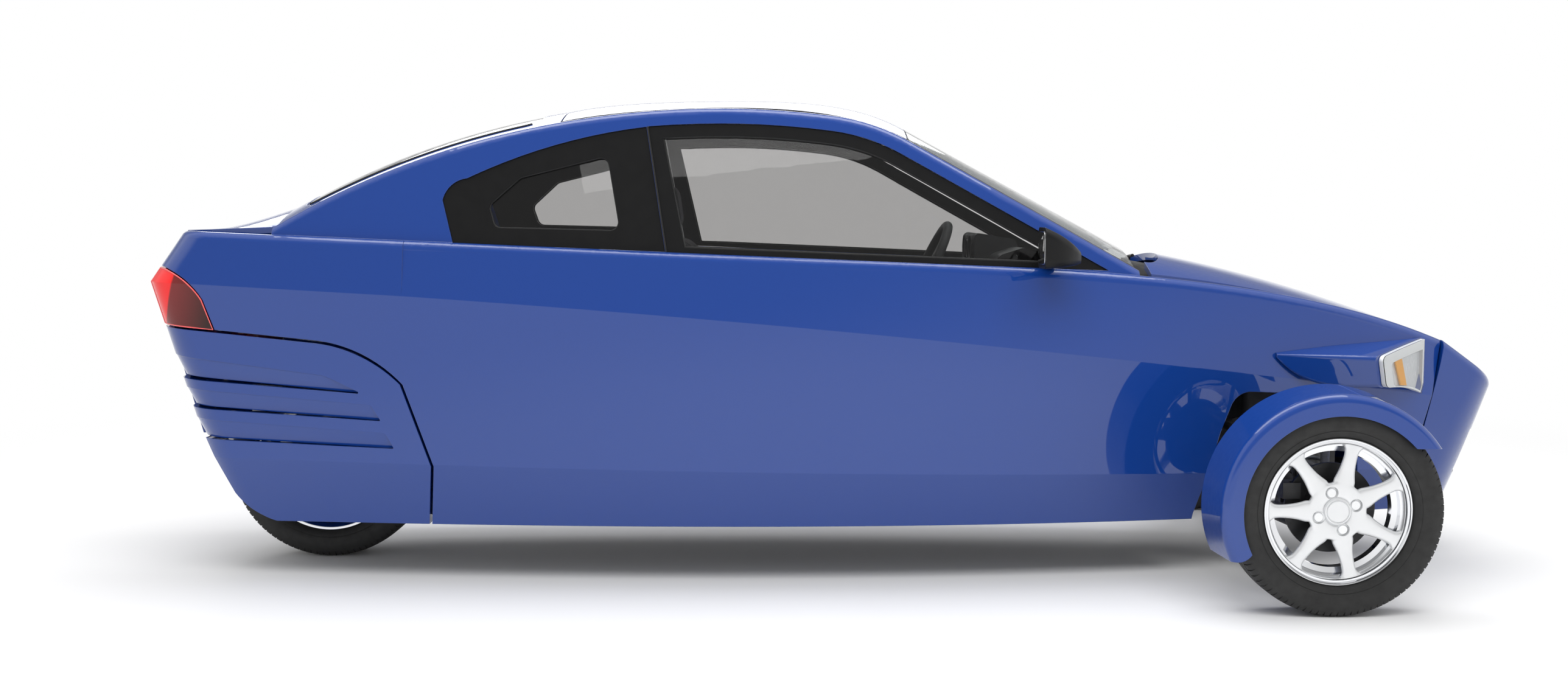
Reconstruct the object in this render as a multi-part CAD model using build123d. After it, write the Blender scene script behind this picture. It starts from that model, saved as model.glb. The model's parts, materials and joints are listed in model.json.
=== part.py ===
from build123d import *
import math
import os

# Enclosed tandem two-seat car on three wheels: two steered and driven wheels in front,
# each under its own fender, and one wheel at the back inside a tapering tail.
# Millimetres. +X is forward, +Y is the car's left, +Z is up. The origin is on the
# ground, on the car's middle line and near the middle of its length.

# Wheels and axles
FRONT_AXLE_X = 1265
WHEELBASE = 2805
REAR_AXLE_X = FRONT_AXLE_X - WHEELBASE
FRONT_TRACK = 1540
FRONT_TYRE_D = 550
FRONT_TYRE_W = 140
FRONT_RIM_D = 382
REAR_TYRE_D = 600
REAR_TYRE_W = 165
REAR_RIM_D = 436
TREAD_INSET = 15
RIM_SET = 14
RIM_WALL = 9
RIM_SEAT = 12
RIM_WELL = 30
FLANGE = 6
SPOKE_COUNT = 7
SPOKE_ROOT_W = 66
SPOKE_W = 32
SPOKE_WAIST_R = 112
SPOKE_T = 16
SPOKE_SET = 14
HUB_D = 140
HUB_T = 26
HUB_SINK = 4
LUG_COUNT = 4
LUG_CIRCLE = 100
LUG_HOLE_D = 13
LUG_TURN = 18
KINGPIN_Y = 702
KINGPIN_D = 26
STEER_ARM = 95
FENDER_GAP = 24
FENDER_WALL = 6
FENDER_MARGIN = 12
FENDER_LIP = 48
FENDER_RISE = 12
FENDER_EDGE_R = 24
FENDER_REACH = 20
FENDER_INNER_Y = FRONT_TRACK / 2 - FRONT_TYRE_W / 2 - FENDER_REACH
FENDER_FRONT_Z = 437
FENDER_REAR_Z = 150

# Body plan and lines
MAX_HALF_WIDTH = 530
WIDEST_X = -300
NOSE_TAPER = 2585
TAIL_TAPER = 2793
TAPER_POWER = 2.2
TAIL_X = -1215
SEAM_X = 1737
SEAM_LEAN = 0.25
SHOULDER_R = 26
LEDGE = 4
PILLAR = 40
NOSE_WALL = 32
SIDE_WALL = 62
WALL_TAPER_X = (850, 1150)
TAIL_CORNER_R = 110
GAP = 5
SEAT_GAP = 0.3

# Long lines of the body side. Columns: inset from the widest line, height at the
# origin, rise per millimetre forward, where the line starts to fall, rate of that fall.
BODY_LINES = {
    "belt": (28, 914, -0.0425, 650, 1.33e-4),
    "mid": (0, 775, -0.0388, -2000, 1.42e-5),
    "sill": (30, 322, -0.017, 0, 0),
    "bottom": (85, 164, 0, 0, 0),
}

# Sections of the body side. Columns: x at the mid line, lean of the section.
BAND_STATIONS = ((TAIL_X, 0), (-700, 0), (450, 0), (1250, 0.1), (SEAM_X, SEAM_LEAN))

# Rear end of the tail at each line: distance ahead of the rearmost point
TAIL_END_X = -1964
TAIL_SET = {"belt": 94, "mid": 0, "sill": 148, "bottom": 204}
TAIL_TRIM = 80
REAR_OPEN = 285

# Rear edge of the skirt in side view: a straight fall, a point on its bend, its end
SKIRT = ((-1820, 430), (-1728, 245), (-1668, 190), (-1590, 158))

# Rear quarter panel in side view: its top edge, a point on the bend, the bend's end,
# the knee and the foot. Tail lamp: its foot, waist, a point on its bend, its top.
QUARTER = ((-2100, 745), (-1480, 686), (-1326, 643), (-1224, 567), (-1143, 337), (-1168, 100))
LAMP = ((-1757, 716), (-1788, 800), (-1837, 855), (-1904, 889))
GROOVE = 8

# Louvres in the quarter panel. Columns: heights of the upper and lower edge at the
# rearmost point, front end of the upper edge, tip of the lower edge, corner radius.
LOUVRE_DEPTH = 11
LOUVRES = (
    (657, 587, (-1446, 590), (-1334, 539), 70),
    (556, 502, (-1315, 508), (-1285, 463), 14),
    (468, 411, (-1276, 429), (-1250, 385), 14),
)

# Opening in the body side round the front suspension: corners in side view and radii
BAY = ((1004, 100), (1014, 182), (1076, 421), (1120, 540), (1440, 520), (1500, 380), (1530, 100))
BAY_R = (0, 0, 60, 60, 70, 60, 0)

# Nose cone
NOSE_TIP_X = 1983
NOSE_TIP_Z = 532
NOSE_RAKE = 0.385
NOSE_EDGE_R = 30
NOSE_LEVELS = (190, 300, 420, 540, 720)
GRILLE_W = 210
GRILLE_LOW = 265
GRILLE_HIGH = 395
GRILLE_DEPTH = 70
GRILLE_BARS = 5
GRILLE_BAR = 9
GRILLE_POST = 8
GRILLE_T = 22

# Greenhouse
TUMBLE = 0.27
GLASS = 5
ROOF_SKIN = 18
ROOF_FLANGE = 6
RAIL_R = 28
ROOF_PEAK = (-337, 1336)
ROOF_FRONT = (-20, 1315)
SCREEN_TOP = (190, 1245)
SCREEN_BASE_Z = 881
BACKLIGHT_TOP = (-900, 1276)
DECK_FRONT = (-1600, 1003)
DECK_REAR_X = -1790
DECK_RISE = 6
DECK_CROWN = 2
CROWN = 40
CROWN_GROWTH = 0.018
ROOF_REAR_X = -790
HOOD_CROWN = 0.07
HOOD_FLAT_X = 1775
HOOD_SKIN = 22
HOOD_REAR_X = 880
COWL_DROP = 34
COWL_SKIN = 12
COWL_FRONT_X = 990
SCOOP_HALF = (72, 250)
SCOOP_SHIFT = 5
HINGE_TAB_W = 50
HINGE_TAB_T = 10
HOOD_TAB_Y = 70
HATCH_TAB_Y = 150
TAB_ROOT = 30
FRAME_INSET = 4
FRAME_DEPTH = 30
GLASS_INSET = 12
RAIL_DEPTH = 45
BORDER = 34
B_LINE = ((-484, 940), (-541, 1280))
DOOR_FRONT_X = 756
DOOR_BOTTOM_Z = 350
DOOR_TABS = (450, 760)
DOOR_TAB_H = 60
DOOR_TAB_Y = (52, 30)
QUARTER_GLASS = ((-614, 992), (-653, 1202), (-898, 1141), (-985, 1063), (-966, 1001))
QUARTER_GLASS_R = 24
# Rear end of the quarter window's surround: a point on its top, its upper corner, a
# point on the corner, the corner's end, its foot
QUARTER_FRAME = ((-820, 1226), (-1046, 1139), (-1094, 1116), (-1114, 1078), -1081)
BACKLIGHT_EDGE = (70, 60, 52)
BACKLIGHT_R = 45

# Sections of the right headlamp pod. Columns: x, how far its edge and its foot stand
# out of the body side, how far it reaches in, heights of foot, edge and top, radius.
POD_SECTIONS = (
    (1235, 4, 3, 20, 634, 643, 650, 3),
    (1335, 36, 26, 26, 566, 640, 661, 8),
    (1470, 82, 66, 30, 547, 637, 671, 14),
    (1710, 160, 140, 40, 512, 634, 684, 18),
)
POD_TRIM = 260
LENS_REAR = (1534, 100)
LENS_FRONT = (1668, 20)
LENS_DEPTH = 16

# Sections of a door mirror. Columns: x, lowest and highest point, nearest and
# farthest distance from the middle of the car, corner radius.
MIRROR_SECTIONS = (
    (534, 893, 1004, 500, 640, 26),
    (590, 897, 976, 505, 622, 22),
    (642, 906, 936, 510, 560, 10),
)
MIRROR_ARM_X = (552, 600)
MIRROR_ARM_Z = (915, 943)

# Floor and bulkheads
FLOOR_Z = 180
FLOOR_SKIN = 40
FIREWALL_X = 890
FIREWALL = 20
BULKHEAD_X = -1180
BULKHEAD = 20
LOAD_FLOOR_Z = 660
WALL_BITE = 8
JACK_PAD_AT = (-200, 300)
JACK_PAD = 70
JACK_PAD_DROP = 8
FLOOR_STATIONS = (BULKHEAD_X, -850, -500, -150, 200, 550, FIREWALL_X)
LOAD_REAR = 160
LOAD_R = 45

# Seats. Columns: x of the back's foot, cushion length, lean of the back, half width.
SEATS = {"front_seat": (-345, 460, 0.2, 225), "rear_seat": (-1015, 360, 0.2, 230)}
CUSHION_T = 120
CUSHION_Z = 470
CUSHION_DIP = 20
CUSHION_TUCK = 60
BACK_T = 110
BACK_FOOT = 90
BACK_TOP_T = 90
BACK_TOP_Z = 1000
HEADREST_TOP_Z = 1140
HEADREST_T = (70, 60)
HEADREST_W = 260
HEADREST_R = 26
SEAT_R = 38
PLINTH_INSET = 60

# Dashboard in side view: corners from its rear edge, with heights, and radii
DASH_REAR_X = 430
DASH = ((90, 680), (0, 800), (10, 920), (90, 945))
DASH_R = (30, 40, 30, 40, 0, 0)
DASH_DROP = 12
DASH_LOW_Z = 700
BINNACLE = ((405, 880), (397, 985), (520, 965), (550, 880))
BINNACLE_R = 16
BINNACLE_W = 300
WHEEL_CENTRE = (262, 847)
WHEEL_TILT = 25
WHEEL_R = 172
WHEEL_GRIP_R = 14
WHEEL_BOSS = (52, 40)
WHEEL_SPOKE = (34, 12)
COLUMN_R = 26
COLUMN_L = 236

# Front frame: rails, side beams and towers
RAIL_Y = (92, 136)
RAIL_Z = (205, 275)
BEAM_Y = (205, 250)
BEAM_REACH = 180
CROSS_X = (960, 1090, 1400, 1560)
CROSS_W = 42
TOWER_T = 12
TOWER_TOP = 520
TOWER_FALL = 90
TOWER_R = 20
TOWER_WINDOW = (110, 6, 75, 130)
ENGINE = ((1196, 1480), (-175, 175), (RAIL_Z[1] + SEAT_GAP, 640))
ENGINE_R = 30

# Wishbones. Columns: height of the eye on the steering pin, height of the pivots,
# spread of the pivots fore and aft.
WISHBONES = {"lower": (190, 222, 130), "upper": (360, 430, 150)}
ARM_D = 24
EYE_D = 54
EYE_H = 30
BUSH_D = 34
BUSH_L = 46

# Spring struts. Share of the length at which the coil and its perch stand.
STRUT_LEAD = 58
STRUT_HEAD = (305, 500)
STRUT_ROD_R = 11
STRUT_COIL = (31, 0.28, 0.88)
STRUT_PERCH = (36, 8, 0.26)
STRUT_PAD = 20
SADDLE_H = 34

# Steering, drive and hubs
AXLE_Z = FRONT_TYRE_D / 2
RACK_X = FRONT_AXLE_X - STEER_ARM
RACK_Z = 262
RACK_D = 22
RACK_EYE_R = 15
STEER_ARM_Y = (24, 2)
STEER_ARM_Z = (4, 24)
STEER_ARM_END = 18
SHAFT_RISE = 42
SHAFT_D = 26
SHAFT_STOP = 52
BOOT = (17, 25, 80)
CUP_R = 20
CUP_REACH = 42
POST_R = 30
DISC_D = 236
DISC_T = 11
DISC_Y = KINGPIN_Y + 46
DISC_CLEAR = 6
HAT_R = 72
HAT_T = 8
STUB_D = 52
STAY_D = 14
STAY_LEAD = 100
# Caliper and its carrier: ranges ahead of the pin, out from the pin, above the axle
CALIPER = ((-126, -80), (2, 62), (24, 66))
CARRIER = ((-110, -18), (2, 20), (26, 54))
HUB_BACK = FRONT_TYRE_W / 2 - RIM_SET - SPOKE_SET - HUB_SINK - HUB_T
HAT_Y = FRONT_TRACK / 2 + HUB_BACK - SEAT_GAP - HAT_T

# Rear suspension
SWING_Y = 132
SWING_ARM_W = 32
SWING_ARM_H = 44
SWING_PIVOT_X = BULKHEAD_X - BULKHEAD - 18
REAR_PIN_R = 13
SHOCK_X = (130, 170)
SHOCK_ROD_R = 10
SHOCK_COIL = (27, 0.2, 0.9)

# Wiper. Columns: how far behind the boss, how far to the right, how far above the cowl.
WIPER = ((0, 0, 8), (14, 120, 14), (26, 215, 18))
WIPER_SET = 40
WIPER_D = 9
WIPER_BOSS = (13, 12)

# Rear panel and number plate holes
PLATE_W = 178
PLATE_H = 121
PLATE_Z = 600
PLATE_HOLE_D = 7
PANEL_LOW_Z = 409
PANEL_SKIN = 16
PANEL_PROUD = 8

SIDES = {"right": -1, "left": 1}


def plan(x):
    """Half width of the body at its widest line, straight behind the tail joint."""
    if x > WIDEST_X:
        return MAX_HALF_WIDTH * (1 - ((x - WIDEST_X) / NOSE_TAPER) ** TAPER_POWER)
    run = (WIDEST_X - max(x, TAIL_X)) / TAIL_TAPER
    half = MAX_HALF_WIDTH * (1 - run ** TAPER_POWER)
    return half + tail_slope() * min(0, x - TAIL_X)


def tail_slope():
    """Half width gained per millimetre forward at the tail joint."""
    run = (WIDEST_X - TAIL_X) / TAIL_TAPER
    return MAX_HALF_WIDTH * TAPER_POWER / TAIL_TAPER * run ** (TAPER_POWER - 1)


def line_z(name, x):
    """Height of a body line."""
    _, height, rise, start, fall = BODY_LINES[name]
    return height + rise * x - fall * max(0, x - start) ** 2


def line_w(name, x):
    """Half width of a body line."""
    return plan(x) - BODY_LINES[name][0]


def side_wall(x):
    """Thickness of the body side, full at the cabin and thin beside the engine."""
    start, end = WALL_TAPER_X
    share = min(1, max(0, (x - start) / (end - start)))
    return SIDE_WALL + (NOSE_WALL - SIDE_WALL) * share


def half_width(x, z):
    """Outer half width of the body side at a height below the belt."""
    names = ("bottom", "sill", "mid", "belt")
    for low, high in zip(names, names[1:]):
        if z <= line_z(high, x) or high == "belt":
            share = (z - line_z(low, x)) / (line_z(high, x) - line_z(low, x))
            return line_w(low, x) + (line_w(high, x) - line_w(low, x)) * share


def on_lean(name, x, lean):
    """Point of a body line on the leaning section through the widest line at x."""
    across = x
    for _ in range(8):
        across = x + lean * (line_z(name, across) - line_z("mid", x))
    return across, line_w(name, across), line_z(name, across)


def seam_x(z, shift=0):
    """Where the leaning nose seam stands at a height."""
    return SEAM_X + shift + SEAM_LEAN * (z - line_z("mid", SEAM_X))


def side_prism(face, near=-1200, far=1200):
    """Solid of a side-view face drawn in X and Z, from one Y to another."""
    placed = Plane((0, near, 0), x_dir=(1, 0, 0), z_dir=(0, -1, 0)) * face
    return extrude(placed, amount=far - near, dir=(0, 1, 0))


def plan_prism(face, low, high):
    """Solid of a plan-view face drawn in X and Y, from one height to another."""
    return extrude(Pos(0, 0, low) * face, amount=high - low, dir=(0, 0, 1))


def rounded(points, radius):
    """Face inside straight lines with rounded corners."""
    return make_face(FilletPolyline(*points, radius=radius, close=True))


def tube(points, diameter):
    """Round bar along straight runs, one cylinder for each run with balls between."""
    pieces = []
    for start, end in zip(points, points[1:]):
        axis = Vector(*end) - Vector(*start)
        pieces.append(Solid.make_cylinder(diameter / 2, axis.length,
                                          Plane(start, z_dir=axis)))
    for joint in points[1:-1]:
        pieces.append(Pos(*joint) * Sphere(diameter / 2))
    return fuse(pieces)


def fuse(pieces):
    """One shape from several."""
    whole = pieces[0]
    for piece in pieces[1:]:
        whole = whole + piece
    return whole


def other_side(shape):
    """The same shape on the car's other side."""
    return mirror(shape, about=Plane.XZ)


def block(x, y, z):
    """Box from ranges along the three axes."""
    size = (x[1] - x[0], y[1] - y[0], z[1] - z[0])
    middle = ((x[0] + x[1]) / 2, (y[0] + y[1]) / 2, (z[0] + z[1]) / 2)
    return Pos(*middle) * Box(*size)


# The arch of the greenhouse in side view: arcs that meet in tangents


def tangent_arc(start, direction, end):
    """Centre, radius and end direction of the arc leaving start along direction."""
    s, d, e = Vector(*start), Vector(*direction).normalized(), Vector(*end)
    chord = e - s
    normal = Vector(-d.Y, d.X)
    radius = chord.dot(chord) / (2 * chord.dot(normal))
    unit = chord.normalized()
    leaving = unit * (2 * d.dot(unit)) - d
    return s + normal * radius, abs(radius), leaving


def arch_arcs():
    """Arcs from the tail to the windscreen: first x, last x, centre and radius."""
    rear_roof = tangent_arc(ROOF_PEAK, (-1, 0), BACKLIGHT_TOP)
    backlight = tangent_arc(BACKLIGHT_TOP, (rear_roof[2].X, rear_roof[2].Y), DECK_FRONT)
    front_roof = tangent_arc(ROOF_PEAK, (1, 0), ROOF_FRONT)
    header = tangent_arc(ROOF_FRONT, (front_roof[2].X, front_roof[2].Y), SCREEN_TOP)
    arcs = ((DECK_FRONT[0], BACKLIGHT_TOP[0], backlight),
            (BACKLIGHT_TOP[0], ROOF_PEAK[0], rear_roof),
            (ROOF_PEAK[0], ROOF_FRONT[0], front_roof),
            (ROOF_FRONT[0], SCREEN_TOP[0], header))
    return arcs, header[2]


ARCS, SCREEN_DIRECTION = arch_arcs()
SCREEN_SLOPE = SCREEN_DIRECTION.Y / SCREEN_DIRECTION.X
SCREEN_BASE_X = SCREEN_TOP[0] + (SCREEN_BASE_Z - SCREEN_TOP[1]) / SCREEN_SLOPE


def arch_z(x, inset=0):
    """Height of the arch, or of a line set in from it."""
    lead = inset * math.sin(math.atan(SCREEN_SLOPE))
    if x > SCREEN_TOP[0] + lead:
        rise = (x - SCREEN_TOP[0]) * SCREEN_SLOPE
        return SCREEN_TOP[1] + rise - inset * math.hypot(1, SCREEN_SLOPE)
    for first, last, (centre, radius, _) in ARCS:
        if x >= ARCS[0][0] and x <= last + (last - centre.X) / radius * -inset:
            break
    return centre.Y + math.sqrt((radius - inset) ** 2 - (x - centre.X) ** 2)


def arch_edges(start, end, inset=0):
    """Edges along the arch in side view, from one x to a greater one."""
    lead = inset * math.sin(math.atan(SCREEN_SLOPE))
    joints = [last - (last - centre.X) / radius * inset
              for _, last, (centre, radius, _) in ARCS[:-1]]
    joints.append(SCREEN_TOP[0] + lead)
    stops = [start] + [j for j in joints if start < j < end] + [end]
    points = [(x, arch_z(x, inset)) for x in stops]
    edges = []
    for near, far in zip(points, points[1:]):
        if near[0] >= joints[-1] - 1e-3:
            edges.append(Line(near, far))
        else:
            middle = (near[0] + far[0]) / 2
            edges.append(ThreePointArc(near, (middle, arch_z(middle, inset)), far))
    return edges


def cabin_w(x, z):
    """Outer half width of the greenhouse side."""
    return line_w("belt", x) - SHOULDER_R - LEDGE - TUMBLE * (z - line_z("belt", x))


def roof_w(x):
    """Half width between the inner faces of the greenhouse sides at the arch."""
    height = arch_z(x) if DECK_FRONT[0] < x < SCREEN_BASE_X else line_z("belt", x) + 10
    return cabin_w(x, height) - PILLAR


def crown(x):
    """How far the middle of the roof stands above its edges."""
    return CROWN + CROWN_GROWTH * abs(x - ROOF_PEAK[0])


# Body sides


def side_band(side, depth=None):
    """Body side from the tail joint to the nose seam, as thick as the whole wall."""
    wires = []
    for x, lean in BAND_STATIONS:
        wall = depth or side_wall(x)
        outer = {name: on_lean(name, x, lean) for name in BODY_LINES}
        bx, bw, bz = outer["belt"]
        drop = SHOULDER_R * (1 - math.sqrt(0.5))
        low = (bx - lean * SHOULDER_R, side * bw, bz - SHOULDER_R)
        half = (bx - lean * drop, side * (bw - drop), bz - drop)
        top = (bx, side * (bw - SHOULDER_R), bz)
        ledge = (bx, side * (bw - wall), bz)
        rising = [(px, side * pw, pz)
                  for px, pw, pz in (outer[n] for n in ("bottom", "sill", "mid"))]
        falling = [(px, side * (pw - wall), pz)
                   for px, pw, pz in (outer[n] for n in ("mid", "sill", "bottom"))]
        edges = [Edge.make_line(rising[2], low), Edge.make_three_point_arc(low, half, top)]
        corners = [top, ledge] + falling + rising
        edges += [Edge.make_line(a, b) for a, b in zip(corners, corners[1:])]
        wires.append(Wire(edges))
    return Solid.make_loft(wires)


def tail_level(name, inset=0, lift=0):
    """Outline of the tail in the plane of one body line, with round rear corners."""
    rear_x = TAIL_END_X + TAIL_SET[name] + inset
    front = Vector(TAIL_X, 0, line_z(name, TAIL_X) + lift)
    rear = Vector(rear_x, 0, line_z(name, rear_x) + lift)
    return tail_outline(front, rear, line_w(name, TAIL_X) - inset,
                        line_w(name, rear_x) - inset, TAIL_CORNER_R - inset)


def tail_outline(front, rear, wide, narrow, corner):
    """Wire round the tail from half widths at its front and rear."""
    run = (rear - front).length
    outline = FilletPolyline((0, -wide), (run, -narrow), (run, narrow), (0, wide),
                             radius=(0, corner, corner, 0), close=True)
    along = (rear - front).normalized()
    place = Plane(front, x_dir=along, z_dir=along.cross(Vector(0, 1, 0)))
    return (place * outline).wires()[0]


def tail_shell():
    """Hollow tail, open above and below, with a round shoulder and skirt."""
    names = ("belt", "mid", "sill", "bottom")
    outer = Solid.make_loft([tail_level(n) for n in names], ruled=True)
    top = outer.faces().sort_by(Axis.Z)[-1]
    shoulder = [e for e in top.edges() if e.center().X < TAIL_X - 1]
    outer = fillet(shoulder, SHOULDER_R)
    lifts = {"belt": TAIL_TRIM, "bottom": -TAIL_TRIM}
    inner = Solid.make_loft([tail_level(n, SIDE_WALL, lifts.get(n, 0)) for n in names],
                            ruled=True)
    start, bend, middle, end = SKIRT
    far = TAIL_END_X - TAIL_TRIM
    low = end[1] - TAIL_TRIM
    skirt = make_face([Line(start, bend), ThreePointArc(bend, middle, end), Line(end, (end[0], low)),
                       Line((end[0], low), (far, low)), Line((far, low), (far, start[1])),
                       Line((far, start[1]), start)])
    opening = block((far, TAIL_X - 200), (-REAR_OPEN, REAR_OPEN), (0, 1200))
    return outer - inner - opening - side_prism(skirt)


def quarter_outline(margin=0):
    """Side-view face of the rear quarter panel, moved out by a margin."""
    moves = ((0, 1), (0, 1), (0.6, 0.8), (1, 0), (1, 0), (1, 0))
    back, start, bend, end, knee, foot = [(x + margin * dx, z + margin * dz)
                                          for (x, z), (dx, dz) in zip(QUARTER, moves)]
    corner = (back[0], foot[1])
    return make_face([Line(back, start), ThreePointArc(start, bend, end), Line(end, knee),
                      Line(knee, foot), Line(foot, corner), Line(corner, back)])


def lamp_outline(margin=0):
    """Side-view face of the tail lamp, moved out by a margin."""
    moves = ((1, 0), (1, 0), (0.7, 0.7), (0, 1))
    foot, waist, bend, top = [(x + margin * dx, z + margin * dz)
                              for (x, z), (dx, dz) in zip(LAMP, moves)]
    low, high = QUARTER[0], (QUARTER[0][0], top[1] + 25)
    return make_face([Line(low, foot), Line(foot, waist), ThreePointArc(waist, bend, top),
                      Line(top, high), Line(high, low)])


def window_outline(inset=0):
    """Side-view face of the front side window, drawn in from its outer frame."""
    (low_x, low_z), (high_x, high_z) = B_LINE
    low_x, high_x = low_x + 1.4 * inset, high_x + 1.2 * inset
    sill = 0.5 + 0.4 * inset
    tip = SCREEN_TOP[0]
    for _ in range(60):
        tip += (arch_z(tip, RAIL_DEPTH + inset) - line_z("belt", tip) - sill) * 0.9
    back = (low_x, line_z("belt", low_x) + sill)
    edges = arch_edges(high_x, tip, RAIL_DEPTH + inset)
    front = (edges[-1] @ 1).X, (edges[-1] @ 1).Y
    start = (edges[0] @ 0).X, (edges[0] @ 0).Y
    return make_face(edges + [Line(front, back), Line(back, start)])


def quarter_window_outline():
    """Side-view face of the rear side window with its dark surround."""
    (low_x, _), (high_x, _) = B_LINE
    over, corner, turn, end, foot_x = QUARTER_FRAME
    top = (high_x - GAP, arch_z(high_x - GAP, RAIL_DEPTH))
    low = (low_x - GAP, line_z("belt", low_x - GAP) + 0.5)
    foot = (foot_x, line_z("belt", foot_x) + 0.5)
    return make_face([ThreePointArc(top, over, corner), ThreePointArc(corner, turn, end),
                      Line(end, foot), Line(foot, low), Line(low, top)])


def door_outline(margin=0):
    """Side-view face of the door below the belt."""
    m = margin
    rear, front = B_LINE[0][0] - m, DOOR_FRONT_X + m
    low = DOOR_BOTTOM_Z - m
    return rounded(((rear, line_z("belt", rear) + 0.5), (rear + 12, low), (front - 10, low),
                    (front, line_z("belt", front) + 0.5)), (0, 80, 60, 0))


def door_tabs():
    """Hinge tabs that reach across the shut line in front of the door."""
    tabs = []
    top = line_z("belt", DOOR_FRONT_X)
    near, far = (plan(DOOR_FRONT_X) - depth for depth in DOOR_TAB_Y)
    reach = GAP - SEAT_GAP
    for z in DOOR_TABS:
        high_z = z + DOOR_TAB_H
        low_x, high_x = (DOOR_FRONT_X - 10 * (top - h) / (top - DOOR_BOTTOM_Z)
                         for h in (z, high_z))
        face = Face(Wire.make_polygon([(low_x - TAB_ROOT, z), (low_x + reach, z),
                                       (high_x + reach, high_z), (high_x - TAB_ROOT, high_z)]))
        tabs.append(side_prism(face, near, far))
    return fuse(tabs)


def bay_outline():
    """Side-view face of the opening that the front suspension passes through."""
    return rounded(BAY, BAY_R)


def cabin_wall(side, inset, depth):
    """Leaning wall of the greenhouse before it is cut to the arch."""
    wires = []
    for x in (-1700, TAIL_X, -600, 0, 450, 900):
        low, high = line_z("belt", x) - 30, 1420
        pts = [(x, side * (cabin_w(x, z) - inset - d), z)
               for z, d in ((low, 0), (high, 0), (high, depth), (low, depth))]
        wires.append(Wire.make_polygon([Vector(*p) for p in pts], close=True))
    return Solid.make_loft(wires)


def arch_prism():
    """Everything under the arch, above the belt's root."""
    base = 800
    edges = arch_edges(DECK_FRONT[0], SCREEN_BASE_X)
    rear, front = (DECK_FRONT[0], base), (SCREEN_BASE_X, base)
    return side_prism(make_face(edges + [Line((SCREEN_BASE_X, SCREEN_BASE_Z), front),
                                         Line(front, rear), Line(rear, DECK_FRONT)]))


def greenhouse_side(side):
    """Wall of the greenhouse with its rounded rail."""
    wall = cabin_wall(side, 0, PILLAR) & arch_prism()
    rail = [e for e in wall.edges() if e.center().Z > line_z("belt", e.center().X) + 12
            and abs(abs(e.center().Y) - cabin_w(e.center().X, e.center().Z)) < 3
            and abs(e.center().Z - arch_z(e.center().X)) < 15]
    return fillet(rail, RAIL_R)


def body_sides():
    """Side panels, louvred quarter panels and tail lamps for both sides."""
    half = block((-2500, 2500), (-2000, 0), (-500, 3000))
    tail = tail_shell() & half
    lower = side_band(-1) + tail
    upper = greenhouse_side(-1)
    around = side_prism(quarter_outline(GROOVE / 2))
    quarter = louvred(lower & side_prism(quarter_outline(-GROOVE / 2)))
    lamp = lower & side_prism(lamp_outline(-GAP / 2)) - around
    shell = lower - around - side_prism(lamp_outline(GAP / 2))
    shell = shell - side_prism(bay_outline()) + upper
    shell = shell - side_prism(quarter_window_outline()) - side_prism(window_outline(-1))
    doorway = side_prism(door_outline(GAP)) + side_prism(window_outline(-GAP))
    left = other_side(shell) - doorway
    door = (other_side(lower) & side_prism(door_outline())) + door_tabs()
    return shell, left, quarter, lamp, door


def louvre_level(rear_z, front, inset):
    """Outline round the tail through a side-view line, drawn in by an inset."""
    slope = (front[1] - rear_z) / (front[0] - TAIL_END_X)
    front_z = rear_z + slope * (TAIL_X - TAIL_END_X)
    ridge, sill = line_z("mid", TAIL_END_X), line_z("sill", TAIL_END_X)
    rear_x = TAIL_END_X + TAIL_SET["sill"] * (ridge - rear_z) / (ridge - sill) + inset
    wide = half_width(TAIL_X, front_z) - inset
    narrow = half_width(rear_x, rear_z) - inset
    return tail_outline(Vector(TAIL_X, 0, front_z), Vector(rear_x, 0, rear_z), wide, narrow,
                        TAIL_CORNER_R - inset)


def louvred(panel):
    """Quarter panel with its stepped louvres, each deepest at its lower edge."""
    behind = TAIL_END_X - 125
    for high, low, front, tip, radius in LOUVRES:
        facet = Solid.make_loft([louvre_level(high, front, 0),
                                 louvre_level(low, tip, LOUVRE_DEPTH)], ruled=True)
        outline = rounded(((behind, high + 10), front, tip, (behind, low + 5)), (0, radius, 3, 0))
        panel = panel - (side_prism(outline) - facet)
    return panel


# Roof, glass, hood and hatch


def crowned_skin(stations, depth):
    """Crowned panel across the car. Columns: x, edge height, half width, crown."""
    wires = []
    for x, z, w, rise in stations:
        top = Edge.make_three_point_arc((x, -w, z), (x, 0, z + rise), (x, w, z))
        low = Edge.make_three_point_arc((x, w, z - depth), (x, 0, z + rise - depth),
                                        (x, -w, z - depth))
        wires.append(Wire([top, Edge.make_line((x, w, z), (x, w, z - depth)), low,
                           Edge.make_line((x, -w, z - depth), (x, -w, z))]))
    return Solid.make_loft(wires)


def arch_stations(xs, inset, sink=0):
    """Rows for a crowned panel that follows the arch, drawn in at its edges."""
    return [(x, arch_z(x) - sink, roof_w(x) - inset, crown(x)) for x in xs]


def roof_panel():
    """Roof between the windscreen and the hatch, with a flange under its edges."""
    xs = (ROOF_REAR_X, -560, ROOF_PEAK[0], ROOF_FRONT[0], SCREEN_TOP[0] - GAP / 2)
    skin = crowned_skin(arch_stations(xs, GAP), ROOF_SKIN)
    sink = ROOF_SKIN - ROOF_FLANGE
    flange = crowned_skin(arch_stations(xs, 3 * SEAT_GAP - TUMBLE * sink, sink), ROOF_FLANGE)
    return skin + flange


def windscreen():
    """Curved screen seated between the pillars."""
    xs = (SCREEN_TOP[0] + GAP / 2, (SCREEN_TOP[0] + SCREEN_BASE_X) / 2, SCREEN_BASE_X - GAP)
    return crowned_skin(arch_stations(xs, 3 * SEAT_GAP), GLASS + 2)


def hatch_stations(inset, sink=0):
    """Rows of the hatch over the backlight."""
    return arch_stations((ROOF_REAR_X - GAP, -900, -1150, -1400, DECK_FRONT[0] + 0.01),
                         inset, sink)


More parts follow.
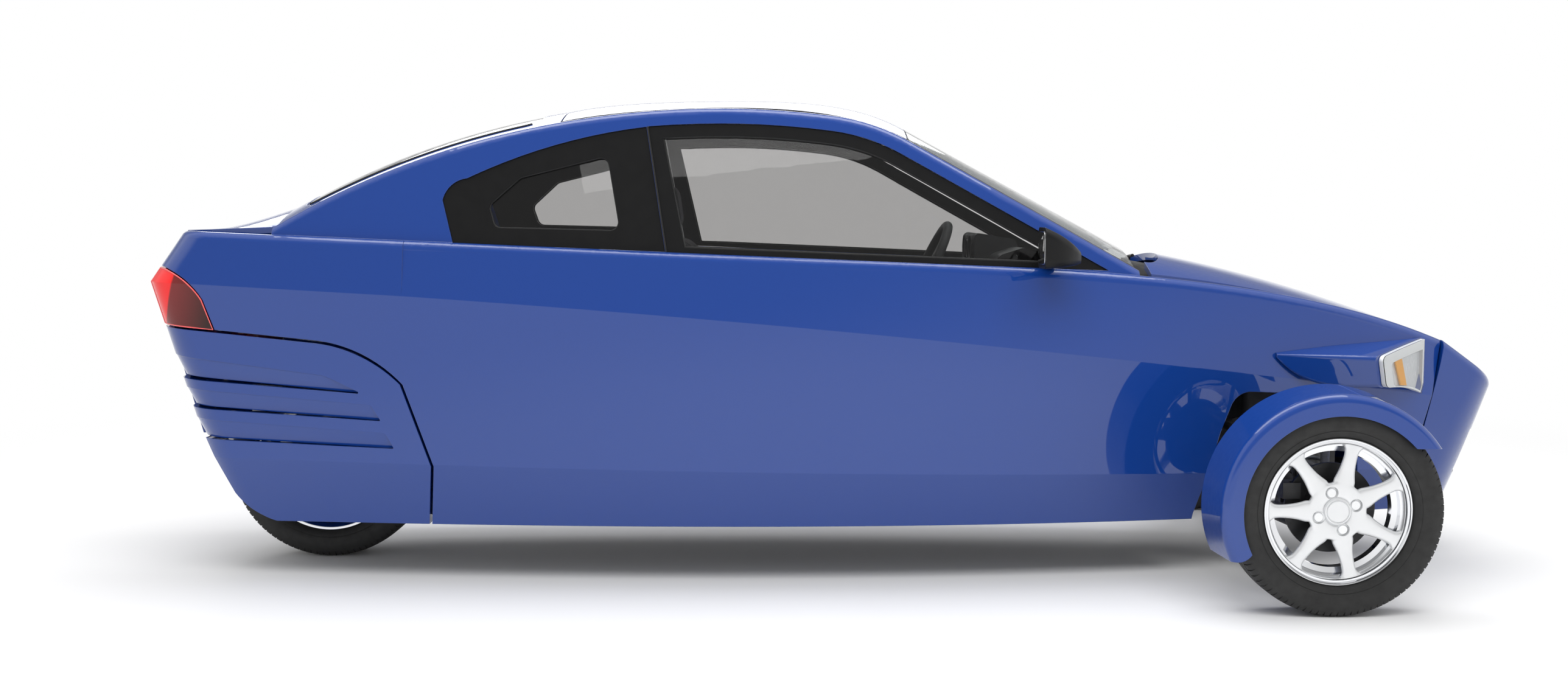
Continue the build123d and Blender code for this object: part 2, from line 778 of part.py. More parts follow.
def backlight_face(margin):
    """Plan-view face of the rear window."""
    top, foot, side = BACKLIGHT_EDGE
    front, rear = ROOF_REAR_X - top + margin, DECK_FRONT[0] + foot - margin
    wide, narrow = roof_w(front) - side + margin, roof_w(rear) - side + margin
    return rounded(((front, -wide), (rear, -narrow), (rear, narrow), (front, wide)), BACKLIGHT_R)


def hatch():
    """Hatch frame with its short deck and rear face, and the glass in it."""
    cover = crowned_skin(hatch_stations(GAP), ROOF_SKIN)
    front, rear = hatch_stations(GAP)[-1], TAIL_END_X + TAIL_SET["belt"]
    rear_z = line_z("belt", DECK_REAR_X) + DECK_RISE
    edge = (DECK_REAR_X, rear_z, roof_w(DECK_REAR_X) - GAP, DECK_CROWN)
    deck = crowned_skin([front, edge], ROOF_SKIN)
    ridge_z = line_z("mid", TAIL_END_X) + 2
    face = Face(Wire.make_polygon([(DECK_REAR_X + 20, rear_z - ROOF_SKIN), (DECK_REAR_X + 5, rear_z),
                                   (rear, rear_z - 2), (TAIL_END_X, ridge_z),
                                   (TAIL_END_X + 34, ridge_z), (rear + 16, rear_z - 40)]))
    back = side_prism(face, -(REAR_OPEN - GAP), REAR_OPEN - GAP)
    top = arch_z(ROOF_REAR_X) + HINGE_TAB_T * 1.6
    tabs = hinge_tabs(HATCH_TAB_Y, (ROOF_REAR_X - GAP - TAB_ROOT, ROOF_REAR_X - SEAT_GAP), top)
    frame = fuse([cover - plan_prism(backlight_face(0), 800, 1500), deck, back] + tabs)
    glass = crowned_skin(hatch_stations(GAP, 3), GLASS)
    return frame, glass & plan_prism(backlight_face(-SEAT_GAP), 800, 1500)


def hinge_tabs(y, x, top):
    """Pair of flat tabs across a shut line, one each side of the middle."""
    half = HINGE_TAB_W / 2
    return [block(x, (side * y - half, side * y + half), (top - HINGE_TAB_T, top))
            for side in SIDES.values()]


def hood_edge_w(x):
    """Half width between the body sides beside the hood."""
    return line_w("belt", x) - side_wall(x)


def hood_rise(x):
    """Crown of the hood, flat where it meets the nose."""
    return HOOD_CROWN * (HOOD_FLAT_X - x) + 3


def hood():
    """Hood with the scoop cut out round the wiper, and its two hinge tabs."""
    rows = [(x, line_z("belt", x), hood_edge_w(x) - GAP, hood_rise(x))
            for x in (HOOD_REAR_X, 1100, 1400, HOOD_FLAT_X)]
    scoop = Pos(HOOD_REAR_X + SCOOP_SHIFT, 0) * Ellipse(*SCOOP_HALF)
    skin = crowned_skin(rows, HOOD_SKIN) - plan_prism(scoop, 700, 1100)
    top = line_z("belt", HOOD_FLAT_X) - 6
    reach = seam_x(top - HINGE_TAB_T, GAP) - SEAT_GAP
    return fuse([skin] + hinge_tabs(HOOD_TAB_Y, (HOOD_FLAT_X - TAB_ROOT, reach), top))


def cowl():
    """Dark panel under the hood's scoop, from the screen to the engine bay."""
    rows = [(x, line_z("belt", x) - COWL_DROP, hood_edge_w(x) - SEAT_GAP, hood_rise(x))
            for x in (SCREEN_BASE_X + 4, COWL_FRONT_X)]
    return crowned_skin(rows, COWL_SKIN)


# Nose


def nose_level(z):
    """Bullet-shaped outline of the nose at one height."""
    x_s = seam_x(z, GAP)
    w_s = half_width(x_s, z)
    x_f = nose_front(z)
    m = plan(SEAM_X) - plan(SEAM_X + 1)
    q = math.hypot(1, m)
    x_c = (q * x_f - w_s - m * x_s) / (q - m)
    r = x_f - x_c
    t_x, t_w = x_c + r * m / q, r / q
    return Wire([Edge.make_line((x_s, -w_s, z), (t_x, -t_w, z)),
                 Edge.make_three_point_arc((t_x, -t_w, z), (x_f, 0, z), (t_x, t_w, z)),
                 Edge.make_line((t_x, t_w, z), (x_s, w_s, z)),
                 Edge.make_line((x_s, w_s, z), (x_s, -w_s, z))])


def nose_front(z):
    """Foremost x of the nose at a height."""
    return NOSE_TIP_X - NOSE_RAKE * (NOSE_TIP_Z - z)


def nose():
    """Nose cone with its air intake, and the bars across the intake."""
    cone = Solid.make_loft([nose_level(z) for z in NOSE_LEVELS])
    top_z = line_z("belt", HOOD_FLAT_X) + 2
    fall = (top_z - NOSE_TIP_Z) / (NOSE_TIP_X - HOOD_FLAT_X)
    near, far, high = HOOD_FLAT_X - 200, NOSE_TIP_X + 200, top_z + 500
    above = Face(Wire.make_polygon([(near, top_z + fall * (HOOD_FLAT_X - near)),
                                    (far, top_z - fall * (far - HOOD_FLAT_X)),
                                    (far, high), (near, high)]))
    cone = cone - side_prism(above)
    top = [f for f in cone.faces() if f.normal_at().Z > 0.5][0]
    rim = [e for e in top.edges() if abs(e.center().Y) > 5 or e.center().X > HOOD_FLAT_X + 40]
    cone = fillet(rim, NOSE_EDGE_R)
    half = GRILLE_W / 2
    low_x, high_x = (nose_front(z) - GRILLE_DEPTH for z in (GRILLE_LOW, GRILLE_HIGH))
    mouth = Face(Wire.make_polygon([(low_x, GRILLE_LOW), (high_x, GRILLE_HIGH),
                                    (far, GRILLE_HIGH), (far, GRILLE_LOW)]))
    return cone - side_prism(mouth, -half, half), grille(low_x, high_x)


def grille(low_x, high_x):
    """Level bars on three posts that stand at the back of the intake."""
    reach = GRILLE_W / 2 - SEAT_GAP
    pitch = (GRILLE_HIGH - GRILLE_LOW) / GRILLE_BARS
    lean = (high_x - low_x) / (GRILLE_HIGH - GRILLE_LOW)
    bars = []
    for i in range(GRILLE_BARS):
        z = GRILLE_LOW + pitch * (i + 0.5)
        x = low_x + lean * (z - GRILLE_LOW) + GRILLE_T / 2
        bars.append(block((x, x + GRILLE_T), (-reach, reach), (z - GRILLE_BAR / 2, z + GRILLE_BAR / 2)))
    foot, head = GRILLE_LOW + SEAT_GAP, GRILLE_HIGH - SEAT_GAP
    post = Face(Wire.make_polygon([(low_x + 2, foot), (high_x + 2, head),
                                   (high_x + GRILLE_T, head), (low_x + GRILLE_T, foot)]))
    for y in (-reach / 2, 0, reach / 2):
        bars.append(side_prism(post, y - GRILLE_POST / 2, y + GRILLE_POST / 2))
    return fuse(bars)


# Lamps and mirrors

def cross_section(x, corners, radius):
    """Wire of a rounded outline, drawn in Y and Z, standing across the car."""
    face = rounded(corners, radius)
    return (Plane((x, 0, 0), x_dir=(0, 1, 0), z_dir=(1, 0, 0)) * face).wires()[0]


def headlamp():
    """Right headlamp: a wedge that grows out of the body side, and its slanted lens."""
    wires = []
    for x, edge, foot, reach, low, middle, high, radius in POD_SECTIONS:
        w = plan(x)
        corners = ((-w - edge, middle), (-w + reach, high), (-w + reach, low), (-w - foot, low))
        wires.append(cross_section(x, corners, radius))
    wedge = Solid.make_loft(wires) - Pos(0, -SEAT_GAP, 0) * side_band(-1, POD_TRIM)
    (rear_x, rear_out), (front_x, front_out) = LENS_REAR, LENS_FRONT
    start = Vector(rear_x, -plan(rear_x) - rear_out)
    end = Vector(front_x, -plan(front_x) - front_out)
    along = (end - start).normalized()
    out = Vector(along.Y, -along.X)
    ends = (start - along * POD_TRIM, end + along * POD_TRIM)
    pod = wedge - lens_slab(ends, out, -LENS_DEPTH - SEAT_GAP, 2 * POD_TRIM)
    return pod, wedge & lens_slab(ends, out, -LENS_DEPTH, 0)


def lens_slab(ends, out, near, far):
    """Upright slab along the lens, between two distances in front of its face."""
    start, end = ends
    corners = [start + out * near, end + out * near, end + out * far, start + out * far]
    return plan_prism(Face(Wire.make_polygon(corners)), 300, 900)


def mirror_housing(side):
    """Door mirror: a rounded wedge on a short arm from the window's front corner."""
    wires = []
    for x, low, high, near, far, radius in MIRROR_SECTIONS:
        corners = ((side * near, low), (side * far, low), (side * far, high), (side * near, high))
        wires.append(cross_section(x, corners, radius))
    near = cabin_w(sum(MIRROR_ARM_X) / 2, MIRROR_ARM_Z[0]) - FRAME_INSET - GLASS_INSET
    far = MIRROR_SECTIONS[1][3] + 15
    arm = block(MIRROR_ARM_X, across(side, near, far), MIRROR_ARM_Z)
    return Solid.make_loft(wires) + (arm - cabin_wall(side, FRAME_INSET - SEAT_GAP, 80))


def frame_and_glass(side, outer, inner):
    """Dark window frame in the greenhouse side, and the pane that fills it."""
    frame = cabin_wall(side, FRAME_INSET, FRAME_DEPTH) & side_prism(outer) - side_prism(inner)
    pane = cabin_wall(side, GLASS_INSET, GLASS) & side_prism(inner)
    return frame, pane


# Floor, bulkheads and cabin


def inner_w(x, z):
    """Inner half width of the body side."""
    return half_width(x, z) - (side_wall(x) if x > TAIL_X else SIDE_WALL)


def between_sides(piece):
    """Piece across the cabin, trimmed to seat between the two body sides."""
    for side in SIDES.values():
        piece = piece - Pos(0, -side * SEAT_GAP, 0) * side_band(side)
    return piece


def floor_pan():
    """Flat floor between the body sides, with a jack pad under each edge."""
    half = [(x, inner_w(x, FLOOR_Z + FLOOR_SKIN) + WALL_BITE) for x in FLOOR_STATIONS]
    outline = [(x, -w) for x, w in half] + [(x, w) for x, w in reversed(half)]
    pan = plan_prism(Face(Wire.make_polygon(outline)), FLOOR_Z, FLOOR_Z + FLOOR_SKIN)
    x, y = JACK_PAD_AT
    half = JACK_PAD / 2
    pads = [block((x - half, x + half), (side * y - half, side * y + half), (FLOOR_Z - JACK_PAD_DROP, FLOOR_Z + 1))
            for side in SIDES.values()]
    return fuse([between_sides(pan)] + pads)


def cross_wall(x, thickness, low, high):
    """Wall across the car between the body sides."""
    lines = [z for z in (line_z(n, x) for n in ("sill", "mid")) if low < z < high]
    half = [(inner_w(x, z) + WALL_BITE, z) for z in [low] + lines + [high]]
    points = [(-w, z) for w, z in half] + [(w, z) for w, z in reversed(half)]
    face = Plane((x, 0, 0), x_dir=(0, 1, 0), z_dir=(1, 0, 0)) * Face(Wire.make_polygon(points))
    return between_sides(extrude(face, amount=thickness, dir=(1, 0, 0)))


def firewall():
    """Wall between the cabin and the engine, under the cowl."""
    top = line_z("belt", FIREWALL_X + FIREWALL) - COWL_DROP - COWL_SKIN - 2
    return cross_wall(FIREWALL_X + SEAT_GAP, FIREWALL, FLOOR_Z, top)


def rear_bulkhead():
    """Wall behind the rear seat, with the load floor over the wheel."""
    x = BULKHEAD_X - BULKHEAD - SEAT_GAP
    wall = cross_wall(x, BULKHEAD, FLOOR_Z, LOAD_FLOOR_Z)
    front, rear = x + 1, TAIL_END_X + LOAD_REAR
    z = LOAD_FLOOR_Z - BULKHEAD / 2
    wide, narrow = inner_w(TAIL_X - 1, z) - 1.5, inner_w(rear, z) - 1
    face = rounded(((front, -wide), (rear, -narrow), (rear, narrow), (front, wide)),
                   (0, LOAD_R, LOAD_R, 0))
    return wall + plan_prism(face, LOAD_FLOOR_Z - BULKHEAD, LOAD_FLOOR_Z)


def seat(name):
    """Bucket seat on its plinth: cushion, back and headrest."""
    foot, length, lean, half = SEATS[name]
    heel, knee = foot - CUSHION_TUCK, foot + length
    low = CUSHION_Z - CUSHION_T
    cushion = rounded(((heel, low - 2 * CUSHION_DIP), (knee, low + CUSHION_DIP / 2),
                       (knee, CUSHION_Z + CUSHION_DIP), (heel, CUSHION_Z - CUSHION_DIP)), SEAT_R)
    top = foot - lean * (BACK_TOP_Z - CUSHION_Z)
    seam_z = CUSHION_Z - BACK_FOOT
    back = rounded(((foot - BACK_T, seam_z), (foot + 10, seam_z), (top, BACK_TOP_Z),
                    (top - BACK_TOP_T, BACK_TOP_Z)), SEAT_R)
    wide, narrow = HEADREST_T
    crest = foot - lean * (HEADREST_TOP_Z - CUSHION_Z)
    rest_z = BACK_TOP_Z - 2 * CUSHION_DIP
    rest = rounded(((top - 8 - wide, rest_z), (top - 8, rest_z), (crest, HEADREST_TOP_Z),
                    (crest - narrow, HEADREST_TOP_Z)), HEADREST_R)
    plinth = block((foot - CUSHION_DIP, knee - PLINTH_INSET), (PLINTH_INSET - half, half - PLINTH_INSET),
                   (FLOOR_Z + FLOOR_SKIN + SEAT_GAP, low))
    return fuse([side_prism(cushion, -half, half), side_prism(back, 8 - half, half - 8),
                 side_prism(rest, -HEADREST_W / 2, HEADREST_W / 2), plinth])


def dashboard():
    """Dashboard shelf under the screen with an instrument binnacle."""
    top = line_z("belt", FIREWALL_X) - COWL_DROP - COWL_SKIN - DASH_DROP
    rear = [(DASH_REAR_X + lead, z) for lead, z in DASH]
    shelf = rounded(rear + [(FIREWALL_X, top), (FIREWALL_X, DASH_LOW_Z)], DASH_R)
    half = inner_w(FIREWALL_X, DASH[1][1]) - 6
    cluster = side_prism(rounded(BINNACLE, BINNACLE_R), -BINNACLE_W / 2, BINNACLE_W / 2)
    return side_prism(shelf, -half, half) + cluster


def steering_wheel():
    """Steering wheel with three spokes on its column."""
    ring = Torus(WHEEL_R, WHEEL_GRIP_R)
    spokes = [Rot(0, 0, a) * Pos(WHEEL_R / 2, 0, 0) * Box(WHEEL_R, *WHEEL_SPOKE) for a in (90, 210, 330)]
    column = Solid.make_cylinder(COLUMN_R, COLUMN_L)
    wheel = fuse([Cylinder(*WHEEL_BOSS), column] + spokes) + ring
    wheel = Pos(WHEEL_CENTRE[0], 0, WHEEL_CENTRE[1]) * Rot(0, 90 + WHEEL_TILT, 0) * wheel
    return wheel - Pos(-SEAT_GAP, 0, 0) * dashboard()


# Front suspension and steering


def engine():
    """Engine and gearbox as one block on the frame rails."""
    return fillet(block(*ENGINE).edges().filter_by(Axis.Z), ENGINE_R)


def across(side, near, far):
    """Range along Y between two distances out from the middle of the car."""
    return sorted((side * near, side * far))


def subframe():
    """Two rails with cross members, suspension towers and the steering rack's tube."""
    start = FIREWALL_X + FIREWALL + 2 * SEAT_GAP
    x = FRONT_AXLE_X
    low, high = RAIL_Z
    rail = Face(Wire.make_polygon([(start, low), (seam_x(low, GAP) - SEAT_GAP, low),
                                   (seam_x(high, GAP) - SEAT_GAP, high), (start, high)]))
    tower = rounded(((x - BEAM_REACH, high - TOWER_T), (x + BEAM_REACH, high - TOWER_T),
                     (x + BEAM_REACH, TOWER_TOP), (x - BEAM_REACH, TOWER_TOP - TOWER_FALL)),
                    (0, 0, TOWER_R, TOWER_R))
    half, lift, front_drop, rear_drop = TOWER_WINDOW
    window = rounded(((x - half, high + lift), (x + half, high + lift), (x + half, TOWER_TOP - front_drop),
                      (x - half, TOWER_TOP - rear_drop)), TOWER_R)
    pieces = []
    for side in SIDES.values():
        wall = side_prism(tower, *across(side, BEAM_Y[1] - TOWER_T, BEAM_Y[1]))
        pieces.append(side_prism(rail, *across(side, *RAIL_Y)))
        pieces.append(block((x - BEAM_REACH, x + BEAM_REACH), across(side, *BEAM_Y), RAIL_Z))
        pieces.append(wall - side_prism(window))
    for near in CROSS_X:
        reach = BEAM_Y[1] if abs(near - x) < BEAM_REACH else RAIL_Y[1]
        pieces.append(block((near, near + CROSS_W), (-reach, reach), RAIL_Z))
    bore = Pos(RACK_X, 0, RACK_Z) * Rot(90, 0, 0)
    frame = fuse(pieces + [bore * Cylinder(RACK_D / 2 + RIM_WALL, 2 * BEAM_Y[1])])
    return frame - bore * Cylinder(RACK_D / 2 + SEAT_GAP, 3 * BEAM_Y[1])


def arm_leg(level, side, end):
    """Ends of one leg of a wishbone: the eye and the pivot."""
    eye_z, pivot_z, spread = WISHBONES[level]
    pivot_y = side * (BEAM_Y[1] + BUSH_D / 2 + SEAT_GAP)
    return (FRONT_AXLE_X, side * KINGPIN_Y, eye_z), (FRONT_AXLE_X + end * spread, pivot_y, pivot_z)


def wishbone(level, side):
    """One suspension arm with an eye round the steering pin and two pivot bushes."""
    pieces = []
    for end in (-1, 1):
        eye, pivot = arm_leg(level, side, end)
        pieces.append(tube((eye, pivot), ARM_D))
        pieces.append(Pos(*pivot) * Rot(0, 90, 0) * Cylinder(BUSH_D / 2, BUSH_L))
    pieces.append(Pos(*eye) * Cylinder(EYE_D / 2, EYE_H))
    beam = block((0, 2000), across(side, 0, BEAM_Y[1] + SEAT_GAP), (0, 1000))
    return fuse(pieces) - Pos(*eye) * Cylinder(KINGPIN_D / 2 + SEAT_GAP, 3 * EYE_H) - beam


def strut(side):
    """Coil spring strut from a saddle on the lower arm to the tower."""
    eye, pivot = (Vector(*end) for end in arm_leg("lower", side, 1))
    foot = eye + (pivot - eye) * (STRUT_LEAD / WISHBONES["lower"][2])
    head_y, head_z = STRUT_HEAD
    start = foot + Vector(0, 0, STRUT_PAD)
    axis = Vector(foot.X, side * head_y, head_z) - start
    place = Plane(start, z_dir=axis)
    coil_r, coil_low, coil_high = STRUT_COIL
    perch_r, perch_t, perch_share = STRUT_PERCH
    rod = Solid.make_cylinder(STRUT_ROD_R, axis.length, place)
    coil = place * Pos(0, 0, axis.length * (coil_low + coil_high) / 2)
    coil = coil * Cylinder(coil_r, axis.length * (coil_high - coil_low))
    perch = place * Pos(0, 0, axis.length * perch_share) * Cylinder(perch_r, perch_t)
    width = (foot.X - STRUT_PAD, foot.X + STRUT_PAD)
    bracket = block(width, across(side, BEAM_Y[1] + SEAT_GAP, head_y + ARM_D / 2),
                    (head_z - STRUT_PAD, head_z + STRUT_PAD))
    saddle = block(width, (foot.Y - STRUT_PAD, foot.Y + STRUT_PAD), (foot.Z, foot.Z + SADDLE_H))
    leg = tube(arm_leg("lower", side, 1), ARM_D + 2 * SEAT_GAP)
    return fuse([rod, coil, perch, bracket, saddle - leg])


def drive_shaft(side):
    """Shaft from the gearbox to the upright, with a boot at its outer end."""
    start, end = ENGINE[1][1] + 5 * SEAT_GAP, KINGPIN_Y - SHAFT_STOP
    narrow, wide, length = BOOT
    bar = tube(((FRONT_AXLE_X, side * start, AXLE_Z + SHAFT_RISE),
                (FRONT_AXLE_X, side * (end - 3), AXLE_Z)), SHAFT_D)
    root = Plane((FRONT_AXLE_X, side * (end - length), AXLE_Z), z_dir=(0, side, 0))
    return bar + Solid.make_cone(narrow, wide, length, root)


def knuckle(side):
    """Upright turning on its pins, with stub axle, steering arm, caliper and fender stays."""
    x, y = FRONT_AXLE_X, side * KINGPIN_Y
    eyes = [WISHBONES[level][0] for level in ("lower", "upper")]
    low, high = eyes[0] + EYE_H / 2 + SEAT_GAP, eyes[1] - EYE_H / 2 - SEAT_GAP
    pin = Pos(x, y, sum(eyes) / 2) * Cylinder(KINGPIN_D / 2, eyes[1] - eyes[0] + EYE_H + 8)
    post = Pos(x, y, (low + high) / 2) * Cylinder(POST_R, high - low)
    stub = Solid.make_cylinder(STUB_D / 2, HAT_Y - SEAT_GAP - KINGPIN_Y,
                               Plane((x, y, AXLE_Z), z_dir=(0, side, 0)))
    cup = Solid.make_cylinder(CUP_R, CUP_REACH, Plane((x, y, AXLE_Z), z_dir=(0, -side, 0)))
    arm = block((x - STEER_ARM - STEER_ARM_END, x),
                across(side, *(KINGPIN_Y - inset for inset in STEER_ARM_Y)),
                [AXLE_Z + z for z in STEER_ARM_Z])
    brake = [block([x + lead for lead in leads], across(side, *(KINGPIN_Y + out for out in outs)),
                   [AXLE_Z + z for z in heights]) for leads, outs, heights in (CALIPER, CARRIER)]
    slot = Pos(x, side * DISC_Y, AXLE_Z) * Rot(90, 0, 0)
    slot = slot * Cylinder(DISC_D / 2 + DISC_CLEAR, DISC_T + 2 * DISC_CLEAR)
    return fuse([pin, post, cup, arm] + brake) - slot + stub + fender_stays(side)


def fender_stays(side):
    """Two bent bars from the upright past the wheel's inner face up to the fender."""
    x, stay_y = FRONT_AXLE_X, side * (FENDER_INNER_Y + STAY_D / 2)
    under = FRONT_TYRE_D / 2 + FENDER_GAP + fender_lift(FENDER_INNER_Y + STAY_D) - SEAT_GAP
    bars = []
    for lead in (-STAY_LEAD, STAY_LEAD):
        bars.append(tube(((x + 0.2 * lead, side * (KINGPIN_Y - 12), AXLE_Z + 30),
                          (x + 0.7 * lead, stay_y, AXLE_Z + 60),
                          (x + 1.1 * lead, stay_y, AXLE_Z + under)), STAY_D))
    return fuse(bars) & Pos(x, 0, AXLE_Z) * Rot(90, 0, 0) * Cylinder(under, 4 * KINGPIN_Y)


def fender_lift(y):
    """How far the fender's top has risen towards the car at a distance from the middle."""
    outer = FRONT_TRACK / 2 + FRONT_TYRE_W / 2 + FENDER_MARGIN - FENDER_WALL
    return FENDER_RISE * (outer - y) / (outer - FENDER_INNER_Y)


def fender(side):
    """Round fender over the front wheel, with a lip down its outer face."""
    under = FRONT_TYRE_D / 2 + FENDER_GAP
    inner, outer = FENDER_INNER_Y, FRONT_TRACK / 2 + FRONT_TYRE_W / 2 + FENDER_MARGIN
    t, lip = FENDER_WALL, under - FENDER_LIP
    high = under + FENDER_RISE
    points = ((inner, high), (outer - t, under), (outer - t, lip), (outer, lip),
              (outer, under + t), (inner, high + t))
    profile = make_face(FilletPolyline(*points, close=True,
                                       radius=(0, FENDER_EDGE_R - t, 0, 0, FENDER_EDGE_R, 0)))
    face = Plane((0, 0, 0), x_dir=(0, side, 0), z_dir=(side, 0, 0)) * profile
    ring = revolve(face, Axis.Y, 360)
    low, front = FENDER_REAR_Z - AXLE_Z, FENDER_FRONT_Z - AXLE_Z
    far = 2 * under
    keep = rounded(((-far, low - 14), (-236, low), (-175, 0), (120, 0), (165, front + 6), (far, front - 4),
                    (far, far), (-far, far)), (0, 44, 70, 40, 26, 0, 0, 0))
    return Pos(FRONT_AXLE_X, 0, AXLE_Z) * (ring & side_prism(keep))


def rack():
    """Steering rack with its two track rods, under the steering arms."""
    reach = KINGPIN_Y - sum(STEER_ARM_Y) / 2
    bar = Pos(RACK_X, 0, RACK_Z) * Rot(90, 0, 0) * Cylinder(RACK_D / 2, 2 * reach)
    low, high = RACK_Z - 12, AXLE_Z + STEER_ARM_Z[0] - SEAT_GAP
    eyes = [Pos(RACK_X, side * reach, (low + high) / 2) * Cylinder(RACK_EYE_R, high - low)
            for side in SIDES.values()]
    return fuse([bar] + eyes)


# Wheels, made about the Y axis with +Y outward

def turned(points):
    """Solid turned about the Y axis from points of distance along it and radius."""
    profile = make_face(Polyline(*points, close=True))
    return revolve(Plane((0, 0, 0), x_dir=(0, 1, 0), z_dir=(-1, 0, 0)) * profile, Axis.Y, 360)


def tyre(diameter, width, rim_d):
    """Smooth-sided tyre with its beads inside the rim's flanges."""
    r, w, seat = diameter / 2, width / 2, rim_d / 2 - RIM_SEAT + SEAT_GAP
    bead = w - RIM_SET - FLANGE - SEAT_GAP
    waist = seat + 0.55 * (r - seat)
    half = ((bead, seat), (bead, rim_d / 2 + 1), (w, waist), (w - TREAD_INSET, r))
    return turned([(-y, z) for y, z in half] + [(y, z) for y, z in reversed(half)])


def rim(diameter, width, lug_turn):
    """Cast wheel: a dropped rim, its spokes and a hub with its lug holes."""
    r, w, t = diameter / 2, width / 2 - RIM_SET, RIM_WALL
    seat, well = r - RIM_SEAT, r - RIM_WELL
    edge = FLANGE - 1
    outer = ((-w, r), (edge - w, r), (FLANGE - w, seat), (34 - w, seat), (46 - w, well), (w - 50, well),
             (w - 34, seat), (w - FLANGE, seat), (w - edge, r), (w, r))
    inner = ((w, seat - t), (w - 34, seat - t), (w - 50, well - t), (46 - w, well - t),
             (34 - w, seat - t), (-w, seat - t))
    out = w - SPOKE_SET
    hub = Pos(0, out - HUB_SINK - HUB_T / 2, 0) * Rot(90, 0, 0) * Cylinder(HUB_D / 2, HUB_T)
    root, tip, reach = SPOKE_ROOT_W / 2, SPOKE_W / 2, seat - t / 2
    outline = make_face(Polyline((HUB_D / 3, -root), (SPOKE_WAIST_R, -tip), (reach, -tip), (reach, tip),
                                 (SPOKE_WAIST_R, tip), (HUB_D / 3, root), close=True))
    front = Plane((0, out - SPOKE_T, 0), x_dir=(1, 0, 0), z_dir=(0, -1, 0))
    bar = extrude(front * outline, amount=SPOKE_T, dir=(0, 1, 0))
    spokes = [Rot(0, 360 / SPOKE_COUNT * i, 0) * bar for i in range(SPOKE_COUNT)]
    wheel = fuse([turned(outer + inner), hub] + spokes)
    for i in range(LUG_COUNT):
        turn = Rot(0, lug_turn + 360 / LUG_COUNT * i, 0)
        bolt = Pos(LUG_CIRCLE / 2, 0, 0) * Rot(90, 0, 0) * Cylinder(LUG_HOLE_D / 2, 2 * width)
        wheel = wheel - turn * bolt
    return wheel


def brake_disc():
    """Brake disc with its hat, which carries the wheel's hub."""
    middle = DISC_Y - FRONT_TRACK / 2
    back, front, face = middle - DISC_T / 2, middle + DISC_T / 2, HUB_BACK - SEAT_GAP
    return turned(((back, HAT_R - DISC_CLEAR), (back, DISC_D / 2), (front, DISC_D / 2), (front, HAT_R),
                   (face, HAT_R), (face, 0.01), (face - HAT_T, 0.01), (face - HAT_T, HAT_R - DISC_CLEAR)))


def placed(shape, x, y, side, z):
    """Wheel piece on one side of the car."""
    return Pos(x, y, z) * (shape if side > 0 else Rot(0, 0, 180) * shape)


# Rear suspension


def swing_arm():
    """Two trailing arms with pivot tube and axle for the rear wheel."""
    z = REAR_TYRE_D / 2
    half_w, half_h = SWING_ARM_W / 2, SWING_ARM_H / 2
    wall = BULKHEAD_X - BULKHEAD - 2 * SEAT_GAP
    across_car = Rot(90, 0, 0) * Cylinder(REAR_PIN_R, 2 * SWING_Y + 2 * SWING_ARM_W)
    pieces = [Pos(x, 0, z) * across_car for x in (SWING_PIVOT_X, REAR_AXLE_X)]
    for side in SIDES.values():
        pieces.append(block((REAR_AXLE_X - SWING_ARM_W, SWING_PIVOT_X + 8),
                            across(side, SWING_Y - half_w, SWING_Y + half_w), (z - half_h, z + half_h)))
        pieces.append(block((SWING_PIVOT_X - REAR_PIN_R, wall),
                            across(side, SWING_Y + half_w + 2, SWING_Y + SWING_ARM_W),
                            (z - half_h, z + half_h)))
    return fuse(pieces)


def rear_shock(side):
    """Rear spring strut between the trailing arm and the load floor."""
    low = REAR_TYRE_D / 2 + SWING_ARM_H / 2 + SEAT_GAP
    high = LOAD_FLOOR_Z - BULKHEAD - SEAT_GAP
    foot, head = (Vector(REAR_AXLE_X + lead, side * SWING_Y, z) for lead, z in zip(SHOCK_X, (low, high)))
    axis = head - foot
    place = Plane(foot, z_dir=axis)
    coil_r, coil_low, coil_high = SHOCK_COIL
    coil = place * Pos(0, 0, axis.length * (coil_low + coil_high) / 2)
    coil = coil * Cylinder(coil_r, axis.length * (coil_high - coil_low))
    rod = Solid.make_cylinder(SHOCK_ROD_R, axis.length, place)
    return (rod + coil) & block((REAR_AXLE_X, TAIL_X), (-2 * SWING_Y, 2 * SWING_Y), (low, high))


def wiper():
    """Single wiper: pivot boss on the cowl and an arm along the screen's foot."""
    x = SCREEN_BASE_X + WIPER_SET
    z = line_z("belt", x) - COWL_DROP + hood_rise(x)
    boss = Pos(x, 0, z + 4) * Cylinder(*WIPER_BOSS)
    arm = tube([(x - behind, -aside, z + above) for behind, aside, above in WIPER], WIPER_D)
    return (boss + arm) - Pos(0, 0, SEAT_GAP) * cowl()


def panel_x(z):
    """Where the tail's rear face stands at a height below its ridge."""
    ridge, sill = line_z("mid", TAIL_END_X), line_z("sill", TAIL_END_X)
    return TAIL_END_X + TAIL_SET["sill"] * (ridge - z) / (ridge - sill)


